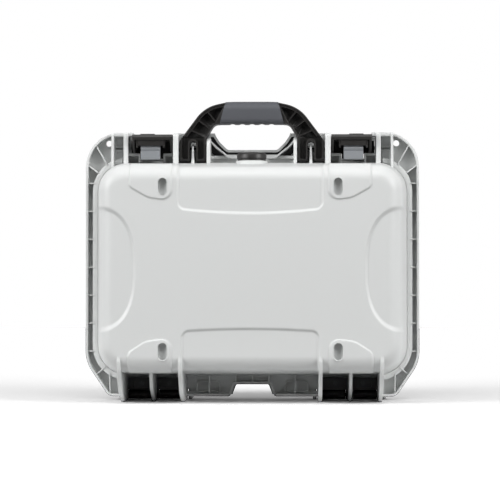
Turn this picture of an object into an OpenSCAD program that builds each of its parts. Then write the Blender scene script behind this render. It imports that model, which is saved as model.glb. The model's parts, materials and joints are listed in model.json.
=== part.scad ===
// Hard carrying case for a folding camera drone, standing on its hinge side with the handle up.
// X runs across the case, Y from the base (front) to the lid (back), Z up. Units are millimetres.

/* [Case] */
// Outside width across the flanges
case_w = 424; // [422:1:428]
// Outside depth of the closed case, base pads to lid pads
case_d = 173; // [172:1:178]
// Depth of the lid from the parting plane
lid_d = 51; // [50:1:54]
// Height of the flange's front edge above the hinge ribs' feet
flange_top = 340; // [340:1:344]
// Wall thickness of both shells
wall = 3.5; // [3:0.1:3.8]
// Half of the gap between the closed flanges
seam = 0.2; // [0.2:0.05:0.3]

/* [Hinge] */
// Diameter of each hinge pin
hinge_pin_d = 4; // [3.6:0.1:4.2]
// Radial clearance of every pin in its bore
pin_play = 0.05; // [0.03:0.01:0.08]
// Outer radius of the hinge knuckles
knuckle_r = 5.8; // [5.4:0.1:5.8]

/* [Latches] */
// Distance of each latch's centre from the case's centre
latch_x = 128.3; // [128:0.1:128.6]
// Reach of each lever from the latch's centre, towards the case's middle
lever_in = 27.8; // [27:0.1:27.9]
// Reach of each lever from the latch's centre, towards the case's side
lever_out = 23.1; // [21:0.1:23.2]
// Width of each claw
claw_w = 24.6; // [22:0.1:25]

/* [Handle] */
// Height of the handle's top above its pivot
handle_h = 60.7; // [59.5:0.1:64]
// Depth of the handle's legs, front to back
leg_d = 24; // [22:0.5:25]
// Diameter of each handle pin
handle_pin_d = 5; // [4.5:0.1:5.2]

/* [Openings and holes] */
// Radius of the padlock holes through both flanges
padlock_r = 4.05; // [3.5:0.05:4.2]
// Diameter of the pressure valve's cap
valve_d = 37.4; // [34:0.1:38]

/* [Foam] */
// Width of the pocket for the folded drone
drone_w = 206; // [150:1:206]
// Height of the pocket for the folded drone
drone_h = 122; // [80:1:122]
// Width of the controller pocket
controller_w = 118; // [80:1:118]
// Height of the controller pocket
controller_h = 168; // [120:1:168]
// Width of each battery pocket
battery_w = 58; // [40:1:58]
// Height of each battery pocket
battery_h = 44; // [30:1:44]
// Depth of the drone and battery pockets
pocket_d = 84; // [60:1:90]
// Depth of the controller pocket
controller_d = 70; // [50:1:90]

/* [Hidden] */

$fn = 48;
hull_fn = 32;
silver = [0.83, 0.84, 0.84];
black = [0.08, 0.08, 0.09];
grip_grey = [0.35, 0.36, 0.38];
claw_grey = [0.48, 0.5, 0.51];
steel = [0.7, 0.7, 0.72];
foam_grey = [0.2, 0.2, 0.21];

half_w = case_w / 2;
part_y = case_d / 2 - lid_d;
base_top = part_y - seam;
lid_bottom = part_y + seam;
mid_z = 166.5;
pad_h = 1.5;
base_face = -case_d / 2 + pad_h;
lid_face = case_d / 2 - pad_h;
plate = 3.5;
lip = 3;
flange_low = 4.5;
base_dip_z = 312.4;
lid_dip_z = 318.6;
lid_dip_s = 1.2;
notch_step = 2.2;

// Tub: half-sizes at the rim and at the floor, corner radii and the floor's edge radius
rim_hw = half_w - 14;
rim_hh = 136;
rim_r = 38;
floor_hw = half_w - 24.5;
floor_hh = 127.5;
floor_r = 32;
edge_r = 20;
lid_floor_hw = half_w - 18;
lid_floor_hh = 132;
lid_edge_r = 16;

// Hinge axis, and the spans of x that the hinge and its ribs take
hinge_y = part_y;
hinge_z = 6;
rib_in = 86;
rib_mid = 123.6;
rib_out = 161;
rib_w = 4.5;
leaf_in = rib_in + rib_w / 2 + 0.4;
leaf_out = rib_out - rib_w / 2 - 0.4;
hinge_clear_z = 13;
screw_x = [-rib_mid - 17.5, -rib_mid + 17.5];
screw_z = 20.5;
screw_r = 1.5;

// Latch: pivot of the lever on the lid, pivot of the claw on the lever
lever_y = part_y + 16.5;
lever_z = 322;
claw_y = 4;
claw_z = 324;
claw_pin_r = 1.5;
claw_low = 304;
bay_z = 313.4;
bay_out = latch_x + 28.5;
bay_in = latch_x - 28.4;
notch_hw = 14.55;
notch_z = 304.5;
latch_pin_r = 2;

// Slide lock in the lever's cover
slide_travel = 5;
stem = 8;
slide_x = -3.7;
slide_y = 30;
cover_z = 333;
cover_top = 336;

// Handle pivot and the leg's fork
pivot_y = 10;
pivot_z = 317.3;
handle_top = pivot_z + handle_h;
grip_low = pivot_z + 31.8;
grip_h = handle_top - grip_low;
leg_in = 57.4;
leg_out = 91.6;
fork_x = 74.6;
fork_hw = 4.3;
fork_top = 327.3;
fork_rib_r = 8.9;
hand_rib_r = 15.2;
prong_r = 16.4;
handle_pin_r = handle_pin_d / 2;

// Valve on the base's front wall
valve_y = -3;
valve_seat = 302;
stem_r = 7.8;

// Foam
foam_gap = 0.8;
tray_low = base_face + wall + 16;
tray_high = base_top - 1;

// ---- helpers ----
function unit(v) = v / norm(v);
function at(p, i) = p[(i + len(p)) % len(p)];
function xy(p) = [p[0], p[1]];

// Points that round corner b, between a and c, with radius r
function corner(a, b, c, r, n = 6) =
    r <= 0 ? [b] :
    let (u = unit(a - b),
         v = unit(c - b),
         half = acos(u * v) / 2,
         centre = b + unit(u + v) * r / sin(half),
         p = b + u * r / tan(half) - centre,
         q = b + v * r / tan(half) - centre,
         a0 = atan2(p[1], p[0]),
         turn = (atan2(q[1], q[0]) - a0 + 900) % 360 - 180)
    [for (i = [0:n]) centre + r * [cos(a0 + turn * i / n), sin(a0 + turn * i / n)]];

// Closed outline from corners given as [x, y, radius]
function outline(p) =
    [for (i = [0:len(p) - 1]) each corner(xy(at(p, i - 1)), xy(p[i]), xy(at(p, i + 1)), p[i][2])];

// The same corners moved inwards by t, for a convex outline
function inset(p, t) =
    [for (i = [0:len(p) - 1])
        let (b = xy(p[i]),
             u = unit(xy(at(p, i - 1)) - b),
             v = unit(xy(at(p, i + 1)) - b),
             move = unit(u + v) * t / sin(acos(u * v) / 2))
        [b[0] + move[0], b[1] + move[1], max(p[i][2] - t, 0.5)]];

// Corners mirrored across x = 0, in reverse order
function flipped(p) = [for (i = [len(p) - 1:-1:0]) [-p[i][0], p[i][1], p[i][2]]];

function mirrored(p) = concat(p, flipped(p));

module along_y(y0, y1) {
    translate([0, y1, 0]) rotate([90, 0, 0]) linear_extrude(y1 - y0) children();
}

module along_x(x0, x1) {
    translate([x0, 0, 0]) rotate([90, 0, 90]) linear_extrude(x1 - x0) children();
}

module rod_x(x0, x1, y, z, r) {
    translate([x0, y, z]) rotate([0, 90, 0]) cylinder(h = x1 - x0, r = r);
}

module rod_y(y0, y1, x, z, r) {
    translate([x, y1, z]) rotate([90, 0, 0]) cylinder(h = y1 - y0, r = r);
}

module both() {
    children();
    mirror([1, 0, 0]) children();
}

module span(x0, x1, y0, y1, z0, z1) {
    translate([x0, y0, z0]) cube([x1 - x0, y1 - y0, z1 - z0]);
}

// Rounded rectangle about the tub's centre
function rim_corners(hw, hh, r) =
    mirrored([[-hw, mid_z + hh, r], [-hw, mid_z - hh, r]]);

module ring(hw, hh, r, width) {
    difference() {
        polygon(outline(rim_corners(hw + width, hh + width, r + width)));
        polygon(outline(rim_corners(hw, hh, r)));
    }
}

// Closed tub body: a rounded rim and a floor with rounded edges, side = -1 for a floor at low y
module tub(hw, hh, r, low_hw, low_hh, low_r, round_r, rim_y, floor_y, side) {
    hull() {
        along_y(min(rim_y, rim_y + side), max(rim_y, rim_y + side)) polygon(outline(rim_corners(hw, hh, r)));
        for (sx = [-1, 1], sz = [-1, 1])
            translate([sx * (low_hw - low_r), floor_y - side * round_r, mid_z + sz * (low_hh - low_r)])
                rotate([90, 0, 0]) rotate_extrude($fn = hull_fn) intersection() {
                    translate([low_r - round_r, 0]) circle(r = round_r, $fn = hull_fn);
                    translate([0, -round_r]) square([low_r, 2 * round_r]);
                }
    }
}

module base_tub(t) {
    tub(rim_hw - t, rim_hh - t, rim_r - t, floor_hw - t, floor_hh - t, floor_r - t, edge_r - t,
        base_top, base_face + t, -1);
}

module lid_tub(t) {
    tub(rim_hw - t, rim_hh - t, rim_r - t, lid_floor_hw - t, lid_floor_hh - t, floor_r + 2 - t,
        lid_edge_r - t, lid_bottom, lid_face - t, 1);
}

// ---- flanges ----
flange_corners = mirrored([[-half_w, flange_top, 44], [-half_w, 48.4, 47], [-182.6, flange_low, 12]]);

// Outline of the dip under the hand, drawn down to a floor at height z with its sides s further in
module dip(z, s) {
    polygon(outline(mirrored([[-60, 360, 0], [-50.5 + s, 344, 0], [-48.5 + s, z + 18, 3],
                              [-43 + s, z + 10, 12], [-33 + s, z, 6]])));
}

// Outline of the notch at the middle of the hinge side, moved outwards by t
module notch(t) {
    polygon(outline(mirrored([[-21 - t, 19 + t, 3], [-27 - t, 3, 0], [-27 - t, -2, 0]])));
}

// Openings that both flange plates share: hinge bays, latch bays and padlock holes
module flange_cuts(gap) {
    for (s = [-1, 1]) {
        translate([s > 0 ? rib_in - gap : -rib_out - 6, -2])
            square([rib_out - rib_in + 6 + gap, hinge_clear_z + 2]);
        translate([s > 0 ? bay_in : -bay_out, bay_z]) square([bay_out - bay_in, 40]);
        translate([s * 183.7, 326.9]) circle(r = padlock_r);
    }
}

module flange_ring(width) {
    difference() {
        polygon(outline(flange_corners));
        polygon(outline(inset(flange_corners, width)));
    }
}

// Places where the lip runs: sides and corners, the two bezels and the hinge side
module lip_area(bezel) {
    for (s = [-1, 1]) {
        translate([s > 0 ? bezel : -half_w - 1, 60]) square([half_w + 1 - bezel, 300]);
        translate([s > 0 ? rib_out + 3 : -half_w - 1, 0]) square([half_w - rib_out - 2, 61]);
        translate([s > 0 ? 30 : -rib_in + 2, 0]) square([rib_in - 32, 12]);
    }
}

// ---- base shell ----
module hinge_rib(x, w, y1) {
    along_x(x - w / 2, x + w / 2)
        polygon(outline([[y1, 0, 0], [-22, 0, 16], [-58, 12, 30], [-84, 36, 24], [-86.2, 57, 3],
                         [-60, 64, 0], [y1, 40, 0]]));
}

module front_rib(x, w, y0, z1, r = 3) {
    along_x(x - w / 2, x + w / 2)
        polygon(outline([[y0, 290, 0], [y0, z1, r], [base_top, z1, 0], [base_top, 290, 0]]));
}

module channel_ribs(y0, y1) {
    rib = 1.6;
    along_y(y0, y1) intersection() {
        polygon(outline(inset(flange_corners, 1)));
        difference() {
            union() {
                for (i = [-3:3])
                    translate([-half_w, 168.4 + i * 35.6 - rib / 2]) square([14, rib]);
                for (a = [143.5, 120])
                    translate([-166, 266]) rotate(a) translate([40, -rib / 2]) square([45, rib]);
                translate([-182.1, 0]) square([rib, 34]);
                translate([-193, 38]) rotate(221) translate([-4, -rib / 2]) square([22, rib]);
            }
            polygon(outline(rim_corners(rim_hw - 1, rim_hh - 1, rim_r - 1)));
        }
    }
}

module pad_top() {
    polygon(outline([[-147.6, 300, 0], [-147.6, 266, 6], [-124, 252, 30], [-95.9, 249.5, 12],
                     [-95.9, 300, 0]]));
}

module pad_low() {
    polygon(outline([[-149.6, 36, 0], [-149.6, 64, 10], [-128, 77, 24], [-96.7, 81, 12], [-96.7, 36, 0]]));
}

module pads_2d() {
    pad_top();
    pad_low();
}

module slot_2d() {
    translate([0, -5]) circle(r = 5.5);
    translate([0, 5]) circle(r = 5.5);
    translate([-5.5, -5]) square([11, 10]);
}

// Shallow panels sunk in a face of the tub: top, bottom and two side lobes
module panels_2d() {
    polygon(outline(mirrored([[-88.5, 310, 0], [-88.5, 239, 8], [-40, 234.5, 60]])));
    polygon(outline(mirrored([[-83.5, 92.5, 5], [-83.5, 24, 0]])));
    both() polygon(outline([[-194, 240, 0], [-160, 240, 20], [-142, 200, 60], [-142, 130, 60],
                            [-160, 89, 20], [-194, 89, 0]]));
}

module base_flange() {
    along_y(base_top - plate, base_top) difference() {
        polygon(outline(flange_corners));
        flange_cuts(2);
        notch(notch_step);
        dip(base_dip_z, -2);
        both() translate([-leg_out - 0.6, 323]) square([leg_out - leg_in + 1.2, 30]);
    }
    along_y(18, base_top) intersection() {
        flange_ring(lip);
        lip_area(152);
    }
    along_y(21, base_top) intersection() {
        ring(rim_hw - 1, rim_hh - 1, rim_r - 1, 6.5);
        both() translate([-half_w, 10]) square([half_w - 166, 310]);
    }
    along_y(base_top - 1, base_top + 1.3) ring(rim_hw + 0.4, rim_hh + 0.4, rim_r + 0.4, 1.5);
    along_y(20, base_top) difference() {
        notch(notch_step + 1.3);
        notch(notch_step);
        translate([-40, -3]) square([80, 8]);
    }
    both() {
        along_y(20, base_top)
            polygon([[-53.5, 331], [-45.2, 322], [-37.2, 315.9], [-28.5, 308.2],
                     [-30.5, 307.3], [-38.5, 314.4], [-46.6, 320.4], [-54.5, 329.2]]);
        span(-55, -18, 27, base_top, 307, 310.8);
    }
}

module base_front() {
    both() {
        front_rib(-177.5, 3.3, 12, 339, 2);
        front_rib(-160, 6, 6, 339, 2);
        front_rib(-96, 6.8, -6, 337.7, 4);
        front_rib(-54.8, 4.3, pivot_y - hand_rib_r, pivot_z + hand_rib_r, hand_rib_r);
        span(-179, -152, 14, base_top, 334.8, 339.3);
        for (x = [-143.7, -112])
            span(x - 1.3, x + 1.3, 18, base_top, 295, bay_z);
        span(-157.5, -143, 18, base_top, 310, bay_z);
        span(-113, -99, 18, base_top, 310, bay_z);
        fork_rib();
    }
    translate([0, valve_y, 0]) translate([0, 0, 286]) cylinder(h = valve_seat - 286, r = valve_d / 2 + 1.3);
}

// Rib between the two prongs of a handle leg
module fork_rib() {
    intersection() {
        along_x(-fork_x - 2, -fork_x + 2)
            polygon([[1, 290], [1, 323.6], [base_top, 323.6], [base_top, 290]]);
        union() {
            rod_x(-fork_x - 3, -fork_x + 3, pivot_y, pivot_z, fork_rib_r);
            span(-fork_x - 3, -fork_x + 3, 1, base_top, 290, pivot_z);
            span(-fork_x - 3, -fork_x + 3, pivot_y, base_top, 290, 323.6);
        }
    }
}

module base_hinge_side() {
    both() {
        for (x = [-rib_in, -rib_out]) {
            hinge_rib(x, rib_w, base_top);
            rod_x(x - rib_w / 2, x + rib_w / 2, hinge_y, hinge_z, hinge_z);
        }
        along_x(-rib_mid - 2, -rib_mid + 2)
            polygon(outline([[24, 0, 0], [-4, 0, 10], [-44, 16, 24], [-58, 40, 0], [24, 40, 0]]));
        span(-55.2, -53.8, 18, base_top, flange_low, 34);
    }
    for (x = [-21, 0, 21])
        span(x - 0.8, x + 0.8, 20, base_top, 22, 34);
}

module base_shell() color(silver) difference() {
    union() {
        base_tub(0);
        base_flange();
        base_front();
        base_hinge_side();
        intersection() {
            both() along_y(base_face - pad_h, base_face + 32) pads_2d();
            base_tub(-pad_h);
        }
        both() channel_ribs(20, base_top);
    }
    base_tub(wall);
    along_y(base_top - 1, base_top + 3)
        polygon(outline(rim_corners(rim_hw - wall, rim_hh - wall, rim_r - wall)));
    along_y(base_face - 1, base_face + 1.6) panels_2d();
    for (s = [-1, 1], z = [266.1, 64.5])
        along_y(-case_d / 2 - 1, -case_d / 2 + 3) translate([s * 107.4, z]) slot_2d();
    both() {
        span(-latch_x - notch_hw, -latch_x + notch_hw, 10, base_top + 4, notch_z, 330);
        rod_x(-103, -50, pivot_y, pivot_z, handle_pin_r + pin_play);
        rod_x(-rib_out - 8, -rib_in + 8, hinge_y, hinge_z, hinge_pin_d / 2 + pin_play);
        for (x = screw_x)
            rod_y(20, base_top - 0.6, x, screw_z, screw_r + 0.05);
        span(-85.4, -71.4, 30, base_top + 1, 9.8, 15.8);
        span(-45, -36.3, 30, base_top + 1, 9.8, 15.8);
    }
    translate([0, valve_y, 280]) cylinder(h = 40, r = stem_r + 0.1);
    translate([0, valve_y, valve_seat - 1.5]) rotate_extrude() translate([13, 0]) square([3.4, 4]);
}

// ---- lid shell ----
module lid_foot(x) {
    along_x(x - 2, x + 2)
        polygon(outline([[part_y + 4.5, 0, 0], [72, 0, 10], [84, 16, 26], [84, 46, 4], [60, 60, 0],
                         [part_y + 4.5, 40, 0]]));
}

module lid_latch_rib(x, w) {
    along_x(x - w / 2, x + w / 2)
        polygon(outline([[lid_bottom, 290, 0], [lid_bottom, flange_top - 2.3, 0],
                         [lever_y, flange_top - 2.3, 12], [lever_y + 14, 308, 14], [lever_y + 24, 290, 0]]));
}

module lid_shell() color(silver) difference() {
    union() {
        lid_tub(0);
        along_y(lid_bottom, lid_bottom + plate) difference() {
            polygon(outline(flange_corners));
            flange_cuts(6);
            notch(0);
            dip(lid_dip_z, lid_dip_s);
        }
        along_y(lid_bottom, lid_bottom + 14) intersection() {
            flange_ring(lip);
            difference() {
                lip_area(152);
                translate([-rib_in, 0]) square([2 * rib_in, 14]);
            }
        }
        along_y(lid_bottom + 4, lid_bottom + 14) difference() {
            intersection() {
                dip(lid_dip_z - 3.4, lid_dip_s - 3.4);
                translate([-95, 300]) square([190, 37.7]);
            }
            dip(lid_dip_z, lid_dip_s);
        }
        both() span(-95, -48, lid_bottom, lid_bottom + 14, 335.5, 337.7);
        along_y(lid_bottom, lid_bottom + 6) ring(rim_hw - 2, rim_hh - 2, rim_r - 2, 6.5);
        both() {
            lid_latch_rib(-160, 6);
            lid_latch_rib(-96, 5.6);
            span(-179, -152, lid_bottom, lid_bottom + 14, 334.8, 339.3);
            lid_foot(-79.5);
            lid_foot(-168);
            channel_ribs(lid_bottom, lid_bottom + 12);
        }
        intersection() {
            both() along_y(lid_face - 24, lid_face + pad_h) pads_2d();
            lid_tub(-pad_h);
        }
    }
    lid_tub(wall);
    along_y(lid_bottom - 3, lid_bottom + 1)
        polygon(outline(rim_corners(rim_hw - wall, rim_hh - wall, rim_r - wall)));
    along_y(lid_bottom - 1, lid_bottom + 3) ring(rim_hw - 0.7, rim_hh - 0.7, rim_r - 0.7, 3.7);
    along_y(lid_face - 1.6, lid_face + 1) panels_2d();
    both() {
        span(-bay_out, -bay_in, lid_bottom - 1, lid_bottom + 5, bay_z, 345);
        span(-latch_x - notch_hw, -latch_x + notch_hw, lid_bottom - 1, lid_bottom + 5, 307.5, bay_z + 1);
        span(-rib_out - 3.5, -rib_in + 3.4, lid_bottom - 1, lid_bottom + 8, -1, hinge_clear_z);
        span(-half_w - 1, -20.5, lid_bottom - 1, lid_bottom + 4, -1, hinge_z + 0.3);
        for (x = screw_x)
            rod_y(lid_bottom + 0.6, lid_bottom + 30, x, screw_z, screw_r + 0.05);
        rod_x(-latch_x - 34.3, -latch_x + 34.3, lever_y, lever_z, latch_pin_r + pin_play);
    }
}

module lid_gasket() color([0.1, 0.1, 0.1])
    along_y(lid_bottom + 1.4, lid_bottom + 2.95) ring(rim_hw - 0.6, rim_hh - 0.6, rim_r - 0.6, 3.5);

// ---- foam ----
module foam_block(y0, y1, t) {
    intersection() {
        base_tub(wall + t);
        span(-half_w, half_w, y0, y1, 0, flange_top);
    }
}

module base_foam_floor() color(foam_grey) foam_block(base_face, tray_low - 0.3, foam_gap);

module pocket(x, z, size) {
    span(x - size[0] / 2, x + size[0] / 2, tray_high - size[2], tray_high + 1,
         z - size[1] / 2, z + size[1] / 2);
}

module base_foam_tray() color(foam_grey) difference() {
    foam_block(tray_low, tray_high, foam_gap);
    pocket(-66, 212, [drone_w, drone_h, pocket_d]);
    pocket(114, mid_z, [controller_w, controller_h, controller_d]);
    for (i = [0:2])
        pocket(-140 + i * 74, 92, [battery_w, battery_h, pocket_d]);
    translate([0, valve_y, 284]) cylinder(h = 30, r = 15);
}

module lid_foam() color(foam_grey) intersection() {
    lid_tub(wall + foam_gap);
    span(-half_w, half_w, lid_bottom + 1.5, case_d, 0, flange_top);
}

// ---- handle ----
handle_outer = [[-leg_out, 300, 0], [-leg_out, 328, 8], [-59.6, handle_top - 7.4, 44],
                [-30, handle_top - 1, 60]];
handle_inner = [[-30, grip_low, 0], [-47.2, grip_low, 9], [-leg_in, 332.5, 8], [-leg_in, 300, 0]];

module handle_2d() {
    polygon(outline(concat(handle_outer, flipped(handle_outer), flipped(handle_inner), handle_inner)));
}

module fork_2d() {
    translate([-fork_x, fork_top - fork_hw]) circle(r = fork_hw);
    translate([-fork_x - fork_hw, 290]) square([2 * fork_hw, fork_top - fork_hw - 290]);
}

// The moulded legs' open side: the leg's outline moved in by its wall, above the fork
module leg_pocket_2d() {
    intersection() {
        offset(delta = -2.6) handle_2d();
        polygon([[-95, 333], [-50, 333], [-34, 358], [-40, 385], [-95, 385]]);
    }
}

module handle_frame() color(black) difference() {
    intersection() {
        along_y(pivot_y - leg_d / 2, pivot_y + leg_d / 2) handle_2d();
        union() {
            rod_x(-half_w, half_w, pivot_y, pivot_z, prong_r);
            span(-half_w, half_w, -40, 60, pivot_z, 400);
        }
    }
    both() {
        along_y(pivot_y - leg_d, pivot_y + leg_d) fork_2d();
        difference() {
            along_y(pivot_y - leg_d, pivot_y + leg_d / 2 - 7) leg_pocket_2d();
            for (i = [0:2])
                translate([-52.1 - 8.7 * i, 0, 360.2 - 11 * i]) rotate([0, 49.5 - 13.5 * i, 0])
                    span(-16, 16, pivot_y - leg_d, pivot_y + leg_d, -0.7, 0.7);
        }
        rod_x(-leg_out - 5, -leg_in + 5, pivot_y, pivot_z, handle_pin_r + pin_play);
    }
    difference() {
        grip_envelope(0.1);
        grip_core(0);
    }
}

// Space that the grip takes on the bar, with slack t
module grip_envelope(t) {
    along_y(-30, 50)
        polygon([[-30 - t, 390], [-41.7 - t, 345], [41.7 + t, 345], [30 + t, 390]]);
}

module grip_core(t) {
    span(-60, 60, pivot_y - 6 - t, pivot_y + 6 + t, grip_low + 6.5 - t, grip_low + 21.5 + t);
}

module grip_section() {
    translate([pivot_y, grip_low])
        polygon(outline([[-14, 0, 7], [14, 0, 7], [14, grip_h, 12], [-14, grip_h, 12]]));
}

module handle_grip() color(grip_grey) difference() {
    intersection() {
        grip_envelope(0);
        along_x(-60, 60) grip_section();
        along_y(-30, 50)
            polygon(outline(mirrored([[-70, 340, 0], [-70, handle_top - 3, 0], [-20, handle_top, 90]])));
    }
    grip_core(0.1);
    for (i = [-2:2])
        rod_y(-30, 50, i * 12.4, grip_low - 5.3, 6.6);
}

module handle_pin() color(steel) rod_x(-99, -52.8, pivot_y, pivot_z, handle_pin_r);

module handle_pin_left() handle_pin();

module handle_pin_right() mirror([1, 0, 0]) handle_pin();

// ---- pressure valve, axis along Z ----
module valve_at(z) {
    translate([0, valve_y, z]) children();
}

module valve_body() color(black) valve_at(0) difference() {
    union() {
        translate([0, 0, 286]) cylinder(h = valve_seat - 286 + 0.1, r = stem_r);
        translate([0, 0, valve_seat + 0.1]) cylinder(h = 2, r = valve_d / 2 - 1);
    }
    translate([0, 0, 280]) cylinder(h = 18, r = 4);
    translate([0, 0, 290]) cylinder(h = 30, r = 2);
    translate([0, 0, valve_seat + 1.1]) cylinder(h = 4, r = 6.1);
}

module valve_cap() color(black) valve_at(valve_seat + 2.2) rotate_extrude()
    polygon(outline([[0, 2.4, 0], [valve_d / 2 - 2.6, 2.4, 0], [valve_d / 2 - 2.6, 0, 0], [valve_d / 2, 0, 0],
                     [valve_d / 2, 7.8, 3], [0, 8.6, 0]]));

module valve_oring() color(black) valve_at(valve_seat - 0.7) rotate_extrude() translate([14.7, 0])
    circle(r = 0.75, $fn = 20);

module valve_membrane() color([0.9, 0.9, 0.88]) valve_at(valve_seat + 1.2) cylinder(h = 0.6, r = 6);

module valve_nut() color(black) valve_at(290.2) difference() {
    cylinder(h = 3.8, r = 12.4, $fn = 6);
    translate([0, 0, -1]) cylinder(h = 8, r = stem_r + 0.1);
}

// ---- hinges ----
module leaf_arch(x) {
    polygon(outline([[x - 11, 15, 3], [x + 11, 15, 3], [x + 11, 26, 6], [x - 11, 26, 6]]));
}

module hinge_base_leaf() color(black) difference() {
    union() {
        along_y(25, base_top - plate - 0.1) translate([-leaf_out, 12.6]) square([leaf_out - leaf_in, 15.4]);
        rod_x(-rib_mid - 4.4, -rib_mid + 4.4, hinge_y, hinge_z, knuckle_r);
        along_x(-rib_mid - 4.4, -rib_mid + 4.4)
            polygon([[25, 16], [25, 8], [30, 0.4], [hinge_y, 0.4], [hinge_y, 10], [31, 13], [31, 16]]);
    }
    for (x = [-rib_mid - 17.5, -rib_mid + 17.5])
        along_y(20, 27.5) leaf_arch(x);
    rod_x(-rib_mid - 6, -rib_mid + 6, hinge_y, hinge_z, hinge_pin_d / 2 + pin_play);
    for (x = screw_x)
        rod_y(20, 40, x, screw_z, screw_r + 0.1);
}

module hinge_lid_leaf() color(black) difference() {
    union() {
        along_y(lid_bottom + plate + 0.1, lid_bottom + plate + 4.1)
            translate([-leaf_out, 1.5]) square([leaf_out - leaf_in, 24]);
        rod_x(-leaf_out, -leaf_in, hinge_y, hinge_z, knuckle_r);
        along_x(-leaf_out, -leaf_in)
            polygon([[hinge_y, 0.4], [hinge_y + 8, 1.5], [hinge_y + 8, 11], [hinge_y + 2, 11.4]]);
    }
    rod_x(-leaf_out - 1, -leaf_in + 1, hinge_y, hinge_z, hinge_pin_d / 2 + pin_play);
    span(-rib_mid - 4.8, -rib_mid + 4.8, 20, 60, -1, hinge_clear_z);
    for (x = screw_x)
        rod_y(30, 60, x, screw_z, screw_r + 0.1);
}

module hinge_base_leaf_left() hinge_base_leaf();

module hinge_base_leaf_right() mirror([1, 0, 0]) hinge_base_leaf();

module hinge_lid_leaf_left() hinge_lid_leaf();

module hinge_lid_leaf_right() mirror([1, 0, 0]) hinge_lid_leaf();

module hinge_pin() color(steel) rod_x(-rib_out - 3, -rib_in + 3, hinge_y, hinge_z, hinge_pin_d / 2);

module hinge_pin_left() hinge_pin();

module hinge_pin_right() mirror([1, 0, 0]) hinge_pin();

// Pan-head screw along Y with its head's seat at y0, pointing to side s
module screw(x, z, y0, s, length) {
    translate([x, y0, z]) rotate([-90 * s, 0, 0]) {
        cylinder(h = length, r = screw_r, $fn = 24);
        translate([0, 0, -1.8]) difference() {
            cylinder(h = 1.8, r = 2.8, $fn = 24);
            for (a = [0, 90])
                rotate([0, 0, a]) translate([-1.6, -0.35, -1]) cube([3.2, 0.7, 2]);
        }
    }
}

module hinge_base_screws() color(steel) both() for (x = screw_x)
    screw(x, screw_z, 27.5, 1, 7);

module hinge_lid_screws() color(steel) both() for (x = screw_x)
    screw(x, screw_z, lid_bottom + plate + 4.1, -1, 6.6);

// ---- latches, drawn about x = 0 and placed at the left ----
module at_latch() {
    translate([-latch_x, 0, 0]) children();
}

claw_hw = claw_w / 2;
lug_x = claw_hw + 3.4;

module latch_lever() color(black) difference() {
    union() {
        span(-lever_out, lever_in, -4, lever_y + 8, cover_z, cover_top);
        span(-lever_out, lever_in, -4, -1.3, 329, cover_z + 1);
        for (x = [-lever_out, lever_in - 3])
            along_x(x, x + 3)
                polygon(outline([[-4, cover_top, 0], [-4, 329, 2], [10, 314.2, 6], [lever_y + 8, 314.2, 7],
                                 [lever_y + 8, cover_top, 2]]));
        for (x = [-lug_x - 2.6, lug_x])
            along_x(x, x + 2.6)
                polygon(outline([[-1.4, cover_z + 0.5, 0], [-1.4, 319.6, 3], [9, 319.6, 3],
                                 [14, cover_z + 0.5, 0]]));
        span(-lever_out + 1, lever_in - 1, 14, 15.8, 328, cover_z + 0.5);
        span(-lever_out + 1, lever_in - 1, 44, 45.8, 314.2, cover_z + 0.5);
        span(-lever_out - 4.9, -lever_out + 2, 44, 45.8, 314.2, 331);
        span(-notch_hw + 0.5, notch_hw - 0.5, 44, 45.8, 308.5, 316);
        span(-lug_x - 0.2, lug_x + 0.2, -1.9, -0.1, 322, cover_z + 0.5);
    }
    rod_x(-lever_out - 1, lever_in + 1, lever_y, lever_z, latch_pin_r + pin_play);
    rod_x(-lug_x - 4, lug_x + 4, claw_y, claw_z, claw_pin_r + pin_play);
    span(slide_x - stem / 2 - 0.4, slide_x + stem / 2 + slide_travel + 0.4, slide_y - stem / 2 - 0.3,
         slide_y + stem / 2 + 0.3, cover_z - 1, cover_top + 1);
}

module latch_slide() color(black) {
    difference() {
        along_y(slide_y - 8, slide_y + 8)
            polygon(outline([[slide_x - 9, cover_top + 0.2, 0], [slide_x + 9, cover_top + 0.2, 0],
                             [slide_x + 9, cover_top + 1.4, 1], [slide_x - 9, cover_top + 1.4, 1]]));
        for (i = [-2:2])
            span(slide_x + i * 3 - 0.4, slide_x + i * 3 + 0.4, slide_y - 6, slide_y + 6,
                 cover_top + 0.9, 340);
    }
    span(slide_x - stem / 2, slide_x + stem / 2, slide_y - stem / 2, slide_y + stem / 2,
         cover_z - 1, cover_top + 0.3);
    span(slide_x - 6, slide_x + 6, slide_y - 6, slide_y + 6, cover_z - 1.8, cover_z - 0.4);
}

module latch_claw() color(claw_grey) difference() {
    along_x(-claw_hw, claw_hw)
        polygon(outline([[1.6, 326.6, 2.4], [1.6, 320.4, 0], [-1.6, 319.2, 0.6], [0.6, 314.9, 0],
                         [-2.2, 314.6, 0.4], [-2.2, claw_low, 1.5], [8, claw_low, 1], [8, 309, 1],
                         [4.5, 310.5, 1], [7.4, 320, 2], [7.4, 326.6, 2.4]]));
    rod_x(-claw_hw - 1, claw_hw + 1, claw_y, claw_z, claw_pin_r + pin_play);
}

module latch_pin() color(steel) rod_x(-34, 34, lever_y, lever_z, latch_pin_r);

module claw_pin() color(steel) rod_x(-lug_x - 2.6, lug_x + 2.6, claw_y, claw_z, claw_pin_r);

// Torsion spring round the claw pin, between the claw and one lug
spring_r = 2.35;
wire_r = 0.32;
spring_turns = 3.5;
spring_steps = 16;
wire_sides = 6;

function spring_point(i) =
    let (a = 360 * i / spring_steps + 90)
    [-lug_x + 0.5 + 0.68 * i / spring_steps, claw_y + spring_r * cos(a), claw_z + spring_r * sin(a)];

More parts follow.
